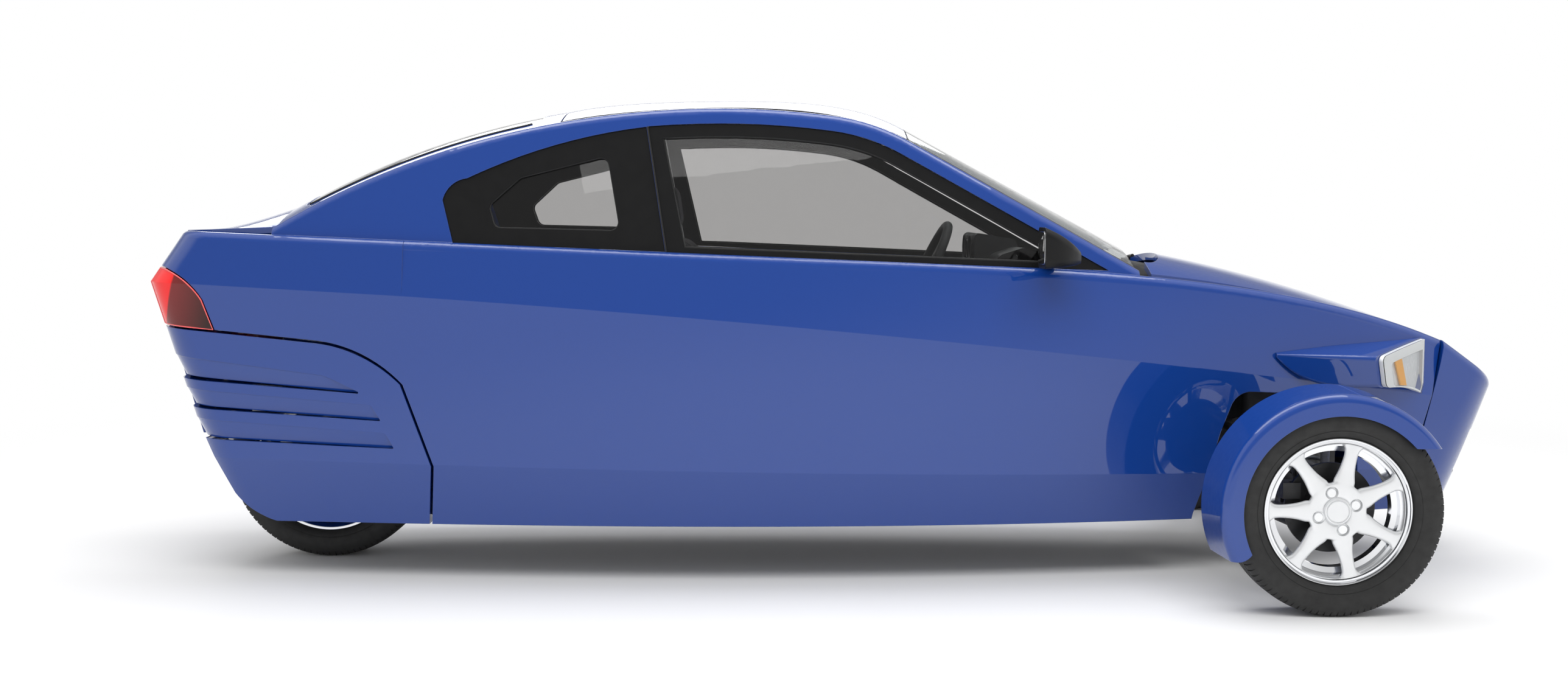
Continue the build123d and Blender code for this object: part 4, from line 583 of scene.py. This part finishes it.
class CAR_OT_body(bpy.types.Operator):
    """Paint, trim and glass on the body's packed panels"""

    bl_idname = "car.body"
    bl_label = "Body Finish"

    def execute(self, context):
        settings = context.scene.car_paint
        paint_nodes(body_paint(settings), "right_side_panel", "left_side_panel", "door_shell",
                    "rear_quarter_panels", "roof_panel", "hood", "nose_cone", "hatch_frame", "headlamp_pods",
                    "rear_plate_panel", "right_fender", "left_fender")
        paint_nodes(tinted_glass(settings), "right_window_glass", "door_window_glass", "quarter_window_glass",
                    "hatch_glass")
        paint_nodes(finish("satin_black"), "right_window_frame", "door_window_frame", "quarter_window_frames",
                    "cowl_panel", "nose_grille", "right_mirror", "left_mirror", "wiper")
        paint_nodes(finish("screen_glass"), "windscreen")
        paint_nodes(finish("floor_coat"), "floor_pan", "firewall", "rear_bulkhead")
        paint_nodes(finish("coated_steel"), "front_subframe", "wishbones", "front_struts", "drive_shafts",
                    "right_knuckle", "left_knuckle", "steering_rack", "swing_arm", "rear_shocks")
        paint_nodes(finish("disc_iron"), "right_brake_disc", "left_brake_disc")
        paint_nodes(finish("cast_metal"), "engine_block")
        paint_nodes(finish("grained_plastic"), "dashboard", "steering_wheel")
        return {"FINISHED"}


class CAR_OT_tyres(bpy.types.Operator):
    """Tyres with tread blocks and grooves"""

    bl_idname = "car.tyres"
    bl_label = "Tyres"

    def execute(self, context):
        count = context.scene.car_wheels.treads
        for side, name in SIDE_NAMES.items():
            tyre = self.tyre(name + "_tyre", FRONT_TYRE_R, FRONT_TYRE_HALF, FRONT_RIM_R, count)
            at_hub(tyre, FRONT_HUB[side], side)
            dress(tyre, name + "_wheel", replaces=(name + "_front_tyre",))
        rear = self.tyre("rear_tyre_rubber", REAR_TYRE_R, REAR_TYRE_HALF, REAR_RIM_R, count)
        dress(at_hub(rear, REAR_HUB, LEFT), "rear_wheel", replaces=("rear_tyre",))
        return {"FINISHED"}

    def tyre(self, name, radius, half, rim_r, count):
        """One tyre, grown from a pitch of its tread."""
        # Columns: distance in from the side, radius, whether the shoulder grooves cut it.
        side = [(0.0205, rim_r - 0.0115, 0), (0.0205, rim_r + 0.001, 0), (0.014, rim_r + 0.0045, 0),
                (0.008, rim_r + 0.009, 0), (0.0038, rim_r + 0.016, 0), (0.0022, rim_r + 0.020, 0),
                (0.0034, rim_r + 0.0215, 0), (0.0020, rim_r + 0.0235, 0), (0.0004, rim_r + 0.034, 0),
                (0.0, rim_r + 0.044, 0), (0.0008, radius - 0.031, 0), (0.0026, radius - 0.0235, 0),
                (0.0052, radius - 0.0165, 0), (0.009, radius - 0.0095, 1), (0.0145, radius - 0.0045, 1),
                (0.0215, radius - 0.0018, 1), (0.030, radius - 0.0008, 1), (0.031, radius - 0.0065, 0),
                (0.0355, radius - 0.0065, 0), (0.0365, radius - 0.0004, 0), (0.053, radius, 0),
                (0.054, radius - 0.006, 0), (0.0585, radius - 0.006, 0), (0.0595, radius, 0)]
        profile = [(inset - half, r, cut) for inset, r, cut in side]
        profile += [(half - inset, r, cut) for inset, r, cut in reversed(side)]
        verts, faces, n = [], [], len(profile)
        steps = ((0.0, 0.0), (0.4, 0.0), (0.78, 0.0), (0.82, 0.003), (0.96, 0.003), (1.0, 0.0))
        for share, depth in steps:
            a = 2 * math.pi * share / count
            for y, r, cut in profile:
                verts.append(((r - depth * cut) * math.cos(a), y, (r - depth * cut) * math.sin(a)))
        for i in range(len(steps) - 1):
            near, far = i * n, (i + 1) * n
            faces += [(near + k, near + (k + 1) % n, far + (k + 1) % n, far + k) for k in range(n)]
        pitch = mesh_piece(name + "_pitch", verts, faces)
        return grown(name, ring_tree, 32, piece=pitch, count=count, turn=0.0, material=finish("tyre_rubber"))


class CAR_OT_rims(bpy.types.Operator):
    """Spoked wheels with stepped barrels, wheel nuts and caps"""

    bl_idname = "car.rims"
    bl_label = "Wheel Rims"

    def execute(self, context):
        settings = context.scene.car_wheels
        for side, name in SIDE_NAMES.items():
            rim = self.rim(settings, name + "_rim", FRONT_RIM_R, FRONT_RIM_HALF)
            at_hub(rim, FRONT_HUB[side], side)
            dress(rim, name + "_wheel", replaces=(name + "_front_rim",))
        rear = self.rim(settings, "rear_spoked_rim", REAR_RIM_R, REAR_RIM_HALF)
        dress(at_hub(rear, REAR_HUB, LEFT), "rear_wheel", replaces=("rear_rim",))
        return {"FINISHED"}

    def rim(self, settings, name, radius, half):
        """One wheel about the Y axis with its face towards +Y."""
        face = half - 0.009
        parts = [self.spokes(settings, radius, face), self.barrel(radius, half), self.cap(face)]
        nut = turned("nut", [(face - 0.012, 0.0), (face - 0.012, 0.0125), (face - 0.0045, 0.0125),
                             (face - 0.003, 0.011), (face - 0.003, 0.0)], 24, closed=False)
        parts.append(self.lugs("nuts", nut, finish("bright_alloy")))
        return joined(name, parts)

    def lugs(self, name, piece, material):
        """A piece made about the axle, set at each place on the bolt circle."""
        piece.data.transform(Matrix.Translation((LUG_R, 0, 0)))
        return grown(name, ring_tree, piece=piece, count=LUG_COUNT, turn=LUG_TURN, material=material)

    def spokes(self, settings, radius, face):
        """Flat spokes that widen into the hub, with pockets for the nuts."""
        count, half_w = settings.spokes, settings.spoke_width / 2
        edge = math.pi / count
        root = 0.031 / 0.084
        # Columns: radius, angle to the spoke's edge, distance behind the face.
        hub = ((0.033, 0.004), (0.040, 0.001), (0.054, 0.0), (0.068, 0.0), (0.077, 0.0005))
        arm = ((0.084, 0.031, 0.0005), (0.096, 0.0255, 0.001), (0.114, 0.0205, 0.001),
               (radius - 0.052, half_w, 0.0), (radius - 0.034, half_w, 0.0),
               (radius - 0.024, half_w + 0.003, 0.0), (radius - 0.018, half_w + 0.010, 0.0))
        lip = ((radius - 0.0145, 0.0), (radius - 0.011, 0.0005))
        verts, faces = [], []

        def row(r, sink, angles):
            verts.extend((r * math.cos(a), face - sink, r * math.sin(a)) for a in angles)
            return list(range(len(verts) - len(angles), len(verts)))

        def bridge(low, high):
            faces.extend((low[i], low[i + 1], high[i + 1], high[i]) for i in range(len(low) - 1))

        last = None
        for r, sink in hub:
            new = row(r, sink, (-edge, -root, 0, root, edge))
            if last:
                bridge(last, new)
            last = new
        last = last[1:4]
        for r, w, sink in arm:
            new = row(r, sink, (-w / r, 0, w / r))
            bridge(last, new)
            last = new
        end = arm[-1][1] / arm[-1][0]
        for k, (r, sink) in enumerate(lip):
            new = row(r, sink, (-edge, -end, 0, end, edge))
            bridge(last, new[1:4] if k == 0 else new)
            last = new
        mesh = bpy.data.meshes.new("sector")
        mesh.from_pydata(verts, [], faces)
        mesh.update()
        if sum(p.normal.y for p in mesh.polygons) < 0:
            mesh.flip_normals()
        disc = grown("disc", ring_tree, piece=link("sector", mesh), count=count, turn=0.0,
                     material=finish("satin_silver"))
        wall = disc.modifiers.new("wall", "SOLIDIFY")
        wall.thickness, wall.offset = 0.017, -1
        smooth = disc.modifiers.new("smooth", "SUBSURF")
        smooth.levels = smooth.render_levels = 2
        baked(disc)
        pocket = turned("pocket", [(face - 0.010, 0.0), (face - 0.010, 0.0155), (face - 0.0015, 0.0165),
                                   (face + 0.004, 0.0195), (face + 0.004, 0.0)], 28, closed=False)
        pockets = self.lugs("pockets", pocket, finish("satin_silver"))
        cut = disc.modifiers.new("pockets", "BOOLEAN")
        cut.object, cut.operation, cut.solver = pockets, "DIFFERENCE", "EXACT"
        baked(disc)
        bpy.data.objects.remove(pockets)
        soften(disc.data, 35)
        return disc

    def barrel(self, radius, half):
        """Stepped barrel with its flanges."""
        r, f = radius, half
        # Outer face and step, drop centre, inner flange, then back along the tyre's seat.
        profile = [(f - 0.0005, r - 0.0015), (f - 0.0015, r - 0.0045), (f - 0.0055, r - 0.0065),
                   (f - 0.008, r - 0.0105), (f - 0.019, r - 0.0120), (f - 0.0195, r - 0.0165),
                   (f - 0.027, r - 0.0175), (f - 0.0285, r - 0.0225), (f - 0.046, r - 0.0235),
                   (f - 0.049, r - 0.038), (-0.018, r - 0.039), (-0.026, r - 0.022),
                   (0.007 - f, r - 0.021), (0.002 - f, r - 0.012), (-f, r - 0.006), (-f, r - 0.001),
                   (0.001 - f, r), (0.006 - f, r), (0.006 - f, r - 0.012), (-0.028, r - 0.0125),
                   (-0.020, r - 0.030), (f - 0.050, r - 0.030), (f - 0.040, r - 0.0118),
                   (f - 0.006, r - 0.0118), (f - 0.006, r), (f - 0.001, r)]
        barrel = turned("barrel", profile, 128, angle=24)
        barrel.data.materials.append(finish("rim_chrome"))
        return barrel

    def cap(self, face):
        """Centre cap in its bevelled ring, and the hub behind it."""
        profile = [(face + 0.004, 0.0), (face + 0.004, 0.0265), (face + 0.003, 0.0278),
                   (face + 0.001, 0.0285), (face + 0.001, 0.0295), (face + 0.003, 0.0305),
                   (face + 0.0025, 0.033), (face - 0.002, 0.036), (face - 0.004, 0.036),
                   (face - 0.012, 0.060), (0.012, 0.060), (0.012, 0.0)]
        cap = turned("cap", profile, 64, closed=False, angle=28)
        cap.data.materials.append(finish("satin_silver"))
        return cap


class CAR_OT_lamps(bpy.types.Operator):
    """Headlamp bowls with amber strips, and the tail lamps' red with its painted inner reflection"""

    bl_idname = "car.lamps"
    bl_label = "Lamps"

    def execute(self, context):
        for side, name in SIDE_NAMES.items():
            self.headlamp(side, name)
        paint_nodes(tail_red(), "tail_lamps")
        for side, name in SIDE_NAMES.items():
            loop = face_loop("tail_lamps", (-0.25, 0.95 * side, 0), lambda p, s=side: p.y * s > 0)
            dress(bead_piece(name + "_lamp_edge", path_object(loop), 0.002, "lamp_edge"), "body")
        return {"FINISHED"}

    def headlamp(self, side, name):
        """Bowl, border, amber strip and clear cover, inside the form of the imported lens."""
        lens = NODES["headlamp_lenses"].data
        front = [p for p in lens.polygons
                 if p.center.y * side > 0 and p.normal.x > 0.4 and abs(p.normal.z) < 1e-3]
        out = max(front, key=lambda p: p.area).normal.copy()
        loop = face_loop("headlamp_lenses", out, lambda p: p.y * side > 0, 0.999)
        middle = sum(loop, Vector()) / len(loop)
        along = Vector((0, 0, 1)).cross(out) * -side
        low = min(p.dot(along) for p in loop)
        wide = max(p.dot(along) for p in loop) - low
        foot, top = min(p.z for p in loop), max(p.z for p in loop)

        def spot(share, height, depth):
            return middle + along * (low + wide * share - middle.dot(along)) + Vector(
                (0, 0, foot + (top - foot) * height - middle.z)) - out * depth

        anchor = spot(0.86, 0.22, 0)
        rim = [anchor + (p - anchor) * 0.76 for p in loop]
        n = len(loop)
        floor = [anchor + (p - anchor) * 0.93 for p in rim]
        rings = [[p - out * depth for p in ring]
                 for ring, depth in ((loop, 0.015), (loop, 0.003), (rim, 0.003), (floor, 0.012))]
        verts = [p for ring in rings for p in ring]
        faces = [(k * n + i, k * n + (i + 1) % n, (k + 1) * n + (i + 1) % n, (k + 1) * n + i)
                 for k in range(3) for i in range(n)]
        faces += [tuple(range(n)), tuple(range(3 * n, 4 * n))]
        bowl = mesh_piece(name + "_bowl", verts, faces, 35)
        bowl.data.materials.append(finish("frosted_white"))
        bowl.data.materials.append(finish("lamp_reflector"))
        for poly in bowl.data.polygons:
            poly.material_index = int(all(v >= 2 * n for v in poly.vertices) and
                                      any(v >= 3 * n for v in poly.vertices))
        corners = ((0.28, 0.76), (0.45, 0.80), (0.62, 0.18), (0.47, 0.20))
        strip = slab(name + "_strip", [spot(*corner, 0.012) for corner in corners], out * 0.006, 0.002)
        strip.data.materials.append(finish("lamp_amber"))
        cover = slab(name + "_cover", [p - out * 0.0026 for p in loop], out * 0.0024)
        cover.data.materials.append(finish("lamp_cover"))
        lamp = joined(name + "_headlamp", [bowl, strip, cover])
        dress(lamp, "body", replaces=("headlamp_lenses",) if side == RIGHT else ())


class CAR_OT_windows(bpy.types.Operator):
    """Rubber beads round the glass, and the mirrors' silvered faces"""

    bl_idname = "car.windows"
    bl_label = "Window Seals and Mirrors"

    def execute(self, context):
        # Columns: piece, packed pane, body, the way the pane looks, bead radius.
        panes = (("right_seal", "right_window_glass", "body", (0, -1, 0.27), 0.005),
                 ("door_seal", "door_window_glass", "door", (0, 1, 0.27), 0.005),
                 ("right_quarter_seal", "quarter_window_glass", "body", (0, -1, 0.27), 0.003),
                 ("left_quarter_seal", "quarter_window_glass", "body", (0, 1, 0.27), 0.003),
                 ("hatch_seal", "hatch_glass", "hatch", (-0.4, 0, 1), 0.003),
                 ("hatch_edge_seal", "hatch_frame", "hatch", (-0.3, 0, 1), 0.004),
                 ("roof_seal", "roof_panel", "body", (0, 0, 1), 0.0035),
                 ("screen_seal", "windscreen", "body", (0.5, 0, 0.85), 0.003))
        for name, pane, body, out, radius in panes:
            loop = face_loop(pane, out, lambda p, y=out[1]: p.y * y >= 0)
            seal = bead_piece(name, path_object(loop, lengthwise=True), radius, "seal_rubber")
            dress(seal, body)
        for side, name in SIDE_NAMES.items():
            self.gap_shade_strip(side, name)
        for side, name in SIDE_NAMES.items():
            self.mirror(side, name)
        return {"FINISHED"}

    def gap_shade_strip(self, side, name):
        """Dark strip that stands for the shade in the gap between the front and quarter window frames."""
        frame_points = [v.co for v in NODES["quarter_window_frames"].data.vertices if v.co.y * side > 0]
        ends = [max(frame_points, key=lambda p: 10 * p.x + abs(p.y)),
                max(frame_points, key=lambda p: 10 * p.z + abs(p.y))]
        path = path_object([p + Vector((0.0028, 0.0028 * side, 0)) for p in ends], closed=False)
        # Painted shade: a dark rubber-coloured bead laid in the gap, where there is only shade.
        dress(bead_piece(name + "_pillar_strip", path, 0.0027, "seal_rubber"), "body")

    def mirror(self, side, name):
        """Silvered face set in the back of the mirror's housing."""
        outline = [Vector((MIRROR_MIDDLE.x, side * (MIRROR_MIDDLE.y + y), MIRROR_MIDDLE.z + z))
                   for y, z in rounded_box(*MIRROR_SIZE, 0.02)]
        glass = slab(name + "_mirror_face", outline, Vector((-0.0022, 0, 0)), 0.001)
        dress(glass, "door" if side == LEFT else "body", finish("mirror_silver"))


class CAR_OT_seats(bpy.types.Operator):
    """Padded front and rear seats on their plinths"""

    bl_idname = "car.seats"
    bl_label = "Seats"

    def execute(self, context):
        # Columns: seat, x of the back's foot, cushion length, half width.
        for name, foot, length, half in (("front", -0.345, 0.460, 0.225), ("rear", -1.015, 0.360, 0.230)):
            knee, top, crest = foot + length, foot - 0.106, foot - 0.134
            cushion = self.pad(name + "_cushion", ((foot - 0.02, 0.318), (knee, 0.362), (knee, 0.488),
                                                   (foot - 0.02, 0.452)), half, (0, 0, 1))
            back = self.pad(name + "_back", ((foot - 0.108, 0.382), (foot + 0.008, 0.382), (top, 0.998),
                                             (top - 0.090, 0.998)), half - 0.008, (0.98, 0, 0.2))
            rest = self.pad(name + "_headrest", ((top - 0.078, 0.985), (top - 0.008, 0.985), (crest, 1.138),
                                                 (crest - 0.060, 1.138)), 0.130, (0.98, 0, 0.2), plain=True)
            for pad in (cushion, back, rest):
                stands_for = (name + "_seat",) if pad is cushion else ()
                dress(pad, "body", finish("woven_cloth"), stands_for)
            self.plinth(name, foot, knee, half - 0.06)
        return {"FINISHED"}

    def pad(self, name, corners, half, facing, plain=False):
        """Crowned pad: a small block blown up by cloth pressure, then sewn in channels."""
        middle = sum((Vector((x, 0, z)) for x, z in corners), Vector()) / 4
        verts = []
        for y in (PAD_SHRINK - half, half - PAD_SHRINK):
            for x, z in corners:
                p = Vector((x, 0, z))
                verts.append(p + (middle - p).normalized() * PAD_SHRINK * 1.4 + Vector((0, y, 0)))
        faces = [(0, 1, 2, 3), (4, 5, 6, 7)] + [(i, (i + 1) % 4, 4 + (i + 1) % 4, 4 + i) for i in range(4)]
        obj = mesh_piece(name, verts, faces)
        bevel = obj.modifiers.new("corners", "BEVEL")
        bevel.width, bevel.segments = PAD_CORNER, 4
        remesh = obj.modifiers.new("cells", "REMESH")
        remesh.mode, remesh.voxel_size = "VOXEL", PAD_CELL
        baked(obj)
        if not (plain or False):
            self.blow_up(obj)
        smooth = obj.modifiers.new("smooth", "SUBSURF")
        smooth.levels = smooth.render_levels = 1
        baked(obj)
        self.sew(obj, Vector(facing), half, middle, plain)
        soften(obj.data, 60)
        return obj

    def blow_up(self, obj):
        """Cloth pressure for a few frames, with each point's travel capped."""
        rest = [v.co.copy() for v in obj.data.vertices]
        cloth = obj.modifiers.new("cloth", "CLOTH")
        cloth.settings.use_pressure = True
        cloth.settings.uniform_pressure_force = PAD_PRESSURE
        cloth.settings.effector_weights.gravity = 0
        scene = bpy.context.scene
        for frame_number in range(1, PAD_FRAMES + 1):
            scene.frame_set(frame_number)
        baked(obj)
        for vert, start in zip(obj.data.vertices, rest):
            move = vert.co - start
            if move.length > PAD_SWELL:
                vert.co = start + move.normalized() * PAD_SWELL
        scene.frame_set(1)

    def sew(self, obj, facing, half, middle, plain):
        """Presses seam lines into the side that faces the sitter."""
        facing.normalize()
        run = facing.cross(Vector((0, 1, 0)))
        obj.data.update()
        for vert in obj.data.vertices:
            if vert.normal.dot(facing) < 0.3:
                continue
            seam = abs(abs(vert.co.y) - SEAM_SHARE * half)
            if not plain and abs(vert.co.y) < SEAM_SHARE * half:
                share = (vert.co - middle).dot(run) / SEAM_PITCH
                seam = min(seam, abs(share - round(share)) * SEAM_PITCH)
            vert.co -= vert.normal * SEAM_DEPTH * math.exp(-(seam / SEAM_WIDTH) ** 2)
        obj.data.update()

    def plinth(self, name, foot, knee, half):
        """Plinth under a seat, with its runners."""
        parts = []
        outline = [Vector((foot + 0.20 + x, y, 0.222))
                   for x, y in rounded_box(knee - foot - 0.04, 2 * half, 0.02)]
        parts.append(slab("plinth", outline, Vector((0, 0, 0.118)), 0.006))
        for side in (RIGHT, LEFT):
            rail = [Vector((foot + 0.19 + x, side * (half + 0.012) + y, 0.2203))
                    for x, y in rounded_box(knee - foot, 0.03, 0.006)]
            parts.append(slab("runner", rail, Vector((0, 0, 0.014)), 0.002))
        base = joined(name + "_plinth", parts)
        dress(base, "body", finish("grained_plastic"))


class CAR_OT_cabin(bpy.types.Operator):
    """Instruments and air vents on the dashboard"""

    bl_idname = "car.cabin"
    bl_label = "Dashboard Details"

    def execute(self, context):
        parts = []
        for y, r in DIALS:
            profile = [(0.0, 0.0), (0.0, r * 0.88), (0.004, r * 0.92), (0.006, r), (0.003, r * 1.06),
                       (-0.004, r * 1.06), (-0.004, 0.0)]
            dial = turned("dial", profile, 40, closed=False)
            dial.data.transform(Matrix.Translation((DIAL_X, y, DIAL_Z)) @ Matrix.Rotation(math.pi / 2, 4, "Z"))
            parts.append(dial)
        for y in (-VENT_Y, VENT_Y):
            frame_line = [Vector((0.4335, y + a, 0.862 + b)) for a, b in rounded_box(0.12, 0.062, 0.012)]
            parts.append(slab("vent", frame_line, Vector((-0.004, 0, 0)), 0.0015))
            slat_line = [Vector((0.4285, y + a, 0.842 + b)) for a, b in rounded_box(0.10, 0.004, 0.0015, 2)]
            slat = slab("slat", slat_line, Vector((-0.006, 0, 0)))
            parts.append(grown("slats", row_tree, piece=slat, count=SLAT_COUNT, step=(0, 0, SLAT_STEP),
                               material=finish("satin_black")))
        details = joined("dash_details", parts)
        dress(details, "body", finish("satin_black"))
        return {"FINISHED"}


class CAR_OT_springs(bpy.types.Operator):
    """Coil springs over the front struts and rear shocks"""

    bl_idname = "car.springs"
    bl_label = "Springs"

    def execute(self, context):
        # Columns: name, foot, head, share of the length at each end, radius, wire, turns.
        table = (("front_spring", (1.323, 0.508, 0.2243), (1.323, 0.305, 0.500), (0.29, 0.87),
                  0.033, 0.0045, 7.5),
                 ("rear_spring", (-1.410, 0.132, 0.3223), (-1.370, 0.132, 0.6397), (0.21, 0.89),
                  0.029, 0.004, 9.5))
        for name, foot, head, (low, high), radius, wire, turns in table:
            for side, side_name in SIDE_NAMES.items():
                mirror = Vector((1, side, 1))
                start, end = Vector(foot) * mirror, Vector(head) * mirror
                axis = end - start
                coil = grown(f"{side_name}_{name}", coil_tree, 60, turns=turns, radius=radius,
                             height=axis.length * (high - low), wire=wire, material=finish("spring_coat"))
                turn = axis.to_track_quat("Z", "Y").to_matrix().to_4x4()
                coil.data.transform(Matrix.Translation(start + axis * low) @ turn)
                dress(coil, "body")
        return {"FINISHED"}


class CAR_OT_fittings(bpy.types.Operator):
    """Blank rear plate with its bolts, and the door's pull handle"""

    bl_idname = "car.fittings"
    bl_label = "Plate and Handle"

    def execute(self, context):
        out = PLATE_OUT
        up = Vector((out.z, 0, -out.x))
        middle = PLATE_MIDDLE + out * 0.0085
        outline = [middle + Vector((0, a, 0)) + up * b for a, b in rounded_box(*PLATE_SIZE, 0.012)]
        plate = slab("plate", outline, out * 0.0018, 0.0006)
        plate.data.materials.append(finish("plate_white"))
        parts = [plate]
        across, high = PLATE_BOLTS
        for height in (-high / 2, high / 2):
            head = hex_head(0.0065, 0.005)
            spot = middle + up * height + out * 0.0016 - Vector((0, across / 2, 0))
            head.data.transform(Matrix.Translation(spot) @ out.to_track_quat("Y", "Z").to_matrix().to_4x4())
            parts.append(grown("bolts", row_tree, piece=head, count=2, step=(0, across, 0),
                               material=finish("zinc")))
        dress(joined("rear_plate", parts), "body")
        grip = [Vector((-0.36 + a, 0.5165 - 0.1573 * b, 0.838 + b))
                for a, b in rounded_box(0.15, 0.030, 0.012)]
        pull = slab("door_pull", grip, Vector((0, 0.010, 0.0016)), 0.004)
        dress(pull, "door", finish("satin_black"))
        return {"FINISHED"}


class CAR_OT_stage(bpy.types.Operator):
    """Pale floor, soft light and the camera"""

    bl_idname = "car.stage"
    bl_label = "Stage"

    def execute(self, context):
        settings = context.scene.car_stage
        scene = context.scene
        scene.view_settings.view_transform = "Standard"
        camera = bpy.data.cameras.new("camera")
        camera.lens = settings.lens
        camera.sensor_width = 36
        eye = bpy.data.objects.new("camera", camera)
        eye.location = settings.camera_place
        eye.rotation_euler = (math.pi / 2 - settings.camera_dip, 0, 0)
        scene.collection.objects.link(eye)
        scene.camera = eye
        corners = [(x * FLOOR_HALF, y * FLOOR_HALF, 0) for x, y in ((-1, -1), (1, -1), (1, 1), (-1, 1))]
        floor = mesh_piece("floor", corners, [(0, 1, 2, 3)])
        floor.data.materials.append(self.floor_material())
        self.world(scene, settings.sky)
        key = self.softbox("key_light", (0.5, -3.2, 4.2), (0, 0, 0.5), 4.5, 2.2, 120)
        key.visible_glossy = False
        self.softbox("top_light", (0, 0.4, 5.0), (0, 0, 0.4), 6.0, 2.5, 130)
        self.softbox("back_light", (-1.0, 4.2, 3.0), (0, 0, 0.8), 5.0, 1.5, 70)
        return {"FINISHED"}

    def softbox(self, name, place, target, width, height, power):
        """Large soft lamp that looks at a point."""
        lamp = bpy.data.lights.new(name, "AREA")
        lamp.shape = "RECTANGLE"
        lamp.size, lamp.size_y, lamp.energy = width, height, power
        obj = bpy.data.objects.new(name, lamp)
        obj.location = place
        obj.rotation_euler = (Vector(target) - Vector(place)).to_track_quat("-Z", "Y").to_euler()
        bpy.context.scene.collection.objects.link(obj)
        return obj

    def floor_material(self):
        """White floor that keeps shadows near the car and fades to white far away."""
        mat = shader("studio_floor", (0.86, 0.86, 0.86), 0.6, Specular_IOR_Level=0.1)
        net = mat.node_tree
        coords = wired(net, "ShaderNodeTexCoord")["Object"]
        distance = wired(net, "ShaderNodeVectorMath", (0, coords), operation="LENGTH")["Value"]
        fade = self.ramp(net, distance, 2.4, 5.0)
        factor = self.product(net, fade, self.seen(net, wired(net, "ShaderNodeLightPath")))
        white = wired(net, "ShaderNodeEmission")[0]
        lit = net.nodes["Principled BSDF"].outputs["BSDF"]
        mix = wired(net, "ShaderNodeMixShader", ("Fac", factor), (1, lit), (2, white))[0]
        net.links.new(mix, net.nodes["Material Output"].inputs["Surface"])
        return mat

    def ramp(self, net, value, low, high):
        """Smooth rise from 0 to 1 between two values."""
        return wired(net, "ShaderNodeMapRange", ("Value", value), ("From Min", low), ("From Max", high),
                     interpolation_type="SMOOTHSTEP")["Result"]

    def product(self, net, first, second):
        """Product of two sockets."""
        return wired(net, "ShaderNodeMath", (0, first), (1, second), operation="MULTIPLY")[0]

    def seen(self, net, path):
        """Whether a ray comes from the camera, a reflection or glass."""
        either = wired(net, "ShaderNodeMath", (0, path["Is Camera Ray"]), (1, path["Is Glossy Ray"]),
                       operation="MAXIMUM")[0]
        return wired(net, "ShaderNodeMath", (0, either), (1, path["Is Transmission Ray"]),
                     operation="MAXIMUM")[0]

    def world(self, scene, strength):
        """Even light, seen as white by the camera, metal and glass."""
        world = bpy.data.worlds.new("studio")
        scene.world = world
        world.use_nodes = True
        net = world.node_tree
        path = wired(net, "ShaderNodeLightPath")
        level = wired(net, "ShaderNodeMapRange", ("Value", self.seen(net, path)), ("To Min", strength),
                      ("To Max", 1.0))["Result"]
        background = net.nodes["Background"].inputs
        background["Color"].default_value = (1, 1, 1, 1)
        net.links.new(self.product(net, self.flag_shade(net, path), level), background["Strength"])

    def flag_shade(self, net, path):
        """Share of the white that is left in reflections, where grey flags hang above both sides."""
        coords = wired(net, "ShaderNodeTexCoord")["Generated"]
        parts = wired(net, "ShaderNodeSeparateXYZ", ("Vector", coords))
        aside = wired(net, "ShaderNodeMath", (0, parts["Y"]), operation="ABSOLUTE")[0]
        shade = path["Is Glossy Ray"]
        for source, low, high in ((aside, 0.3, 0.65), (parts["Z"], 0.08, 0.30)):
            shade = self.product(net, self.ramp(net, source, low, high), shade)
        return wired(net, "ShaderNodeMapRange", ("Value", shade), ("To Min", 1.0), ("To Max", 0.34))["Result"]


class CAR_PT_panel(bpy.types.Panel):
    """Buttons and settings of the car in the sidebar"""

    bl_idname = "CAR_PT_panel"
    bl_label = "Three-Wheeled Car"
    bl_space_type = "VIEW_3D"
    bl_region_type = "UI"
    bl_category = "Car"

    def draw(self, context):
        for group in ("car_paint", "car_wheels", "car_stage"):
            settings = getattr(context.scene, group)
            for name in settings.__annotations__:
                self.layout.prop(settings, name)
        for operator in OPERATORS:
            self.layout.operator(operator.bl_idname)


OPERATORS = (CAR_OT_body, CAR_OT_tyres, CAR_OT_rims, CAR_OT_lamps, CAR_OT_windows, CAR_OT_seats,
             CAR_OT_cabin, CAR_OT_springs, CAR_OT_fittings, CAR_OT_stage)
SETTINGS = {"car_paint": PaintSettings, "car_wheels": WheelSettings, "car_stage": StageSettings}


def register():
    for cls in (*SETTINGS.values(), *OPERATORS, CAR_PT_panel):
        bpy.utils.register_class(cls)
    for name, cls in SETTINGS.items():
        setattr(bpy.types.Scene, name, bpy.props.PointerProperty(type=cls))


def unregister():
    for name in SETTINGS:
        delattr(bpy.types.Scene, name)
    for cls in (CAR_PT_panel, *reversed(OPERATORS), *reversed(SETTINGS.values())):
        bpy.utils.unregister_class(cls)


def main():
    register()
    for operator in OPERATORS:
        getattr(bpy.ops.car, operator.bl_idname.split(".")[1])()


if __name__ == "__main__":
    main()
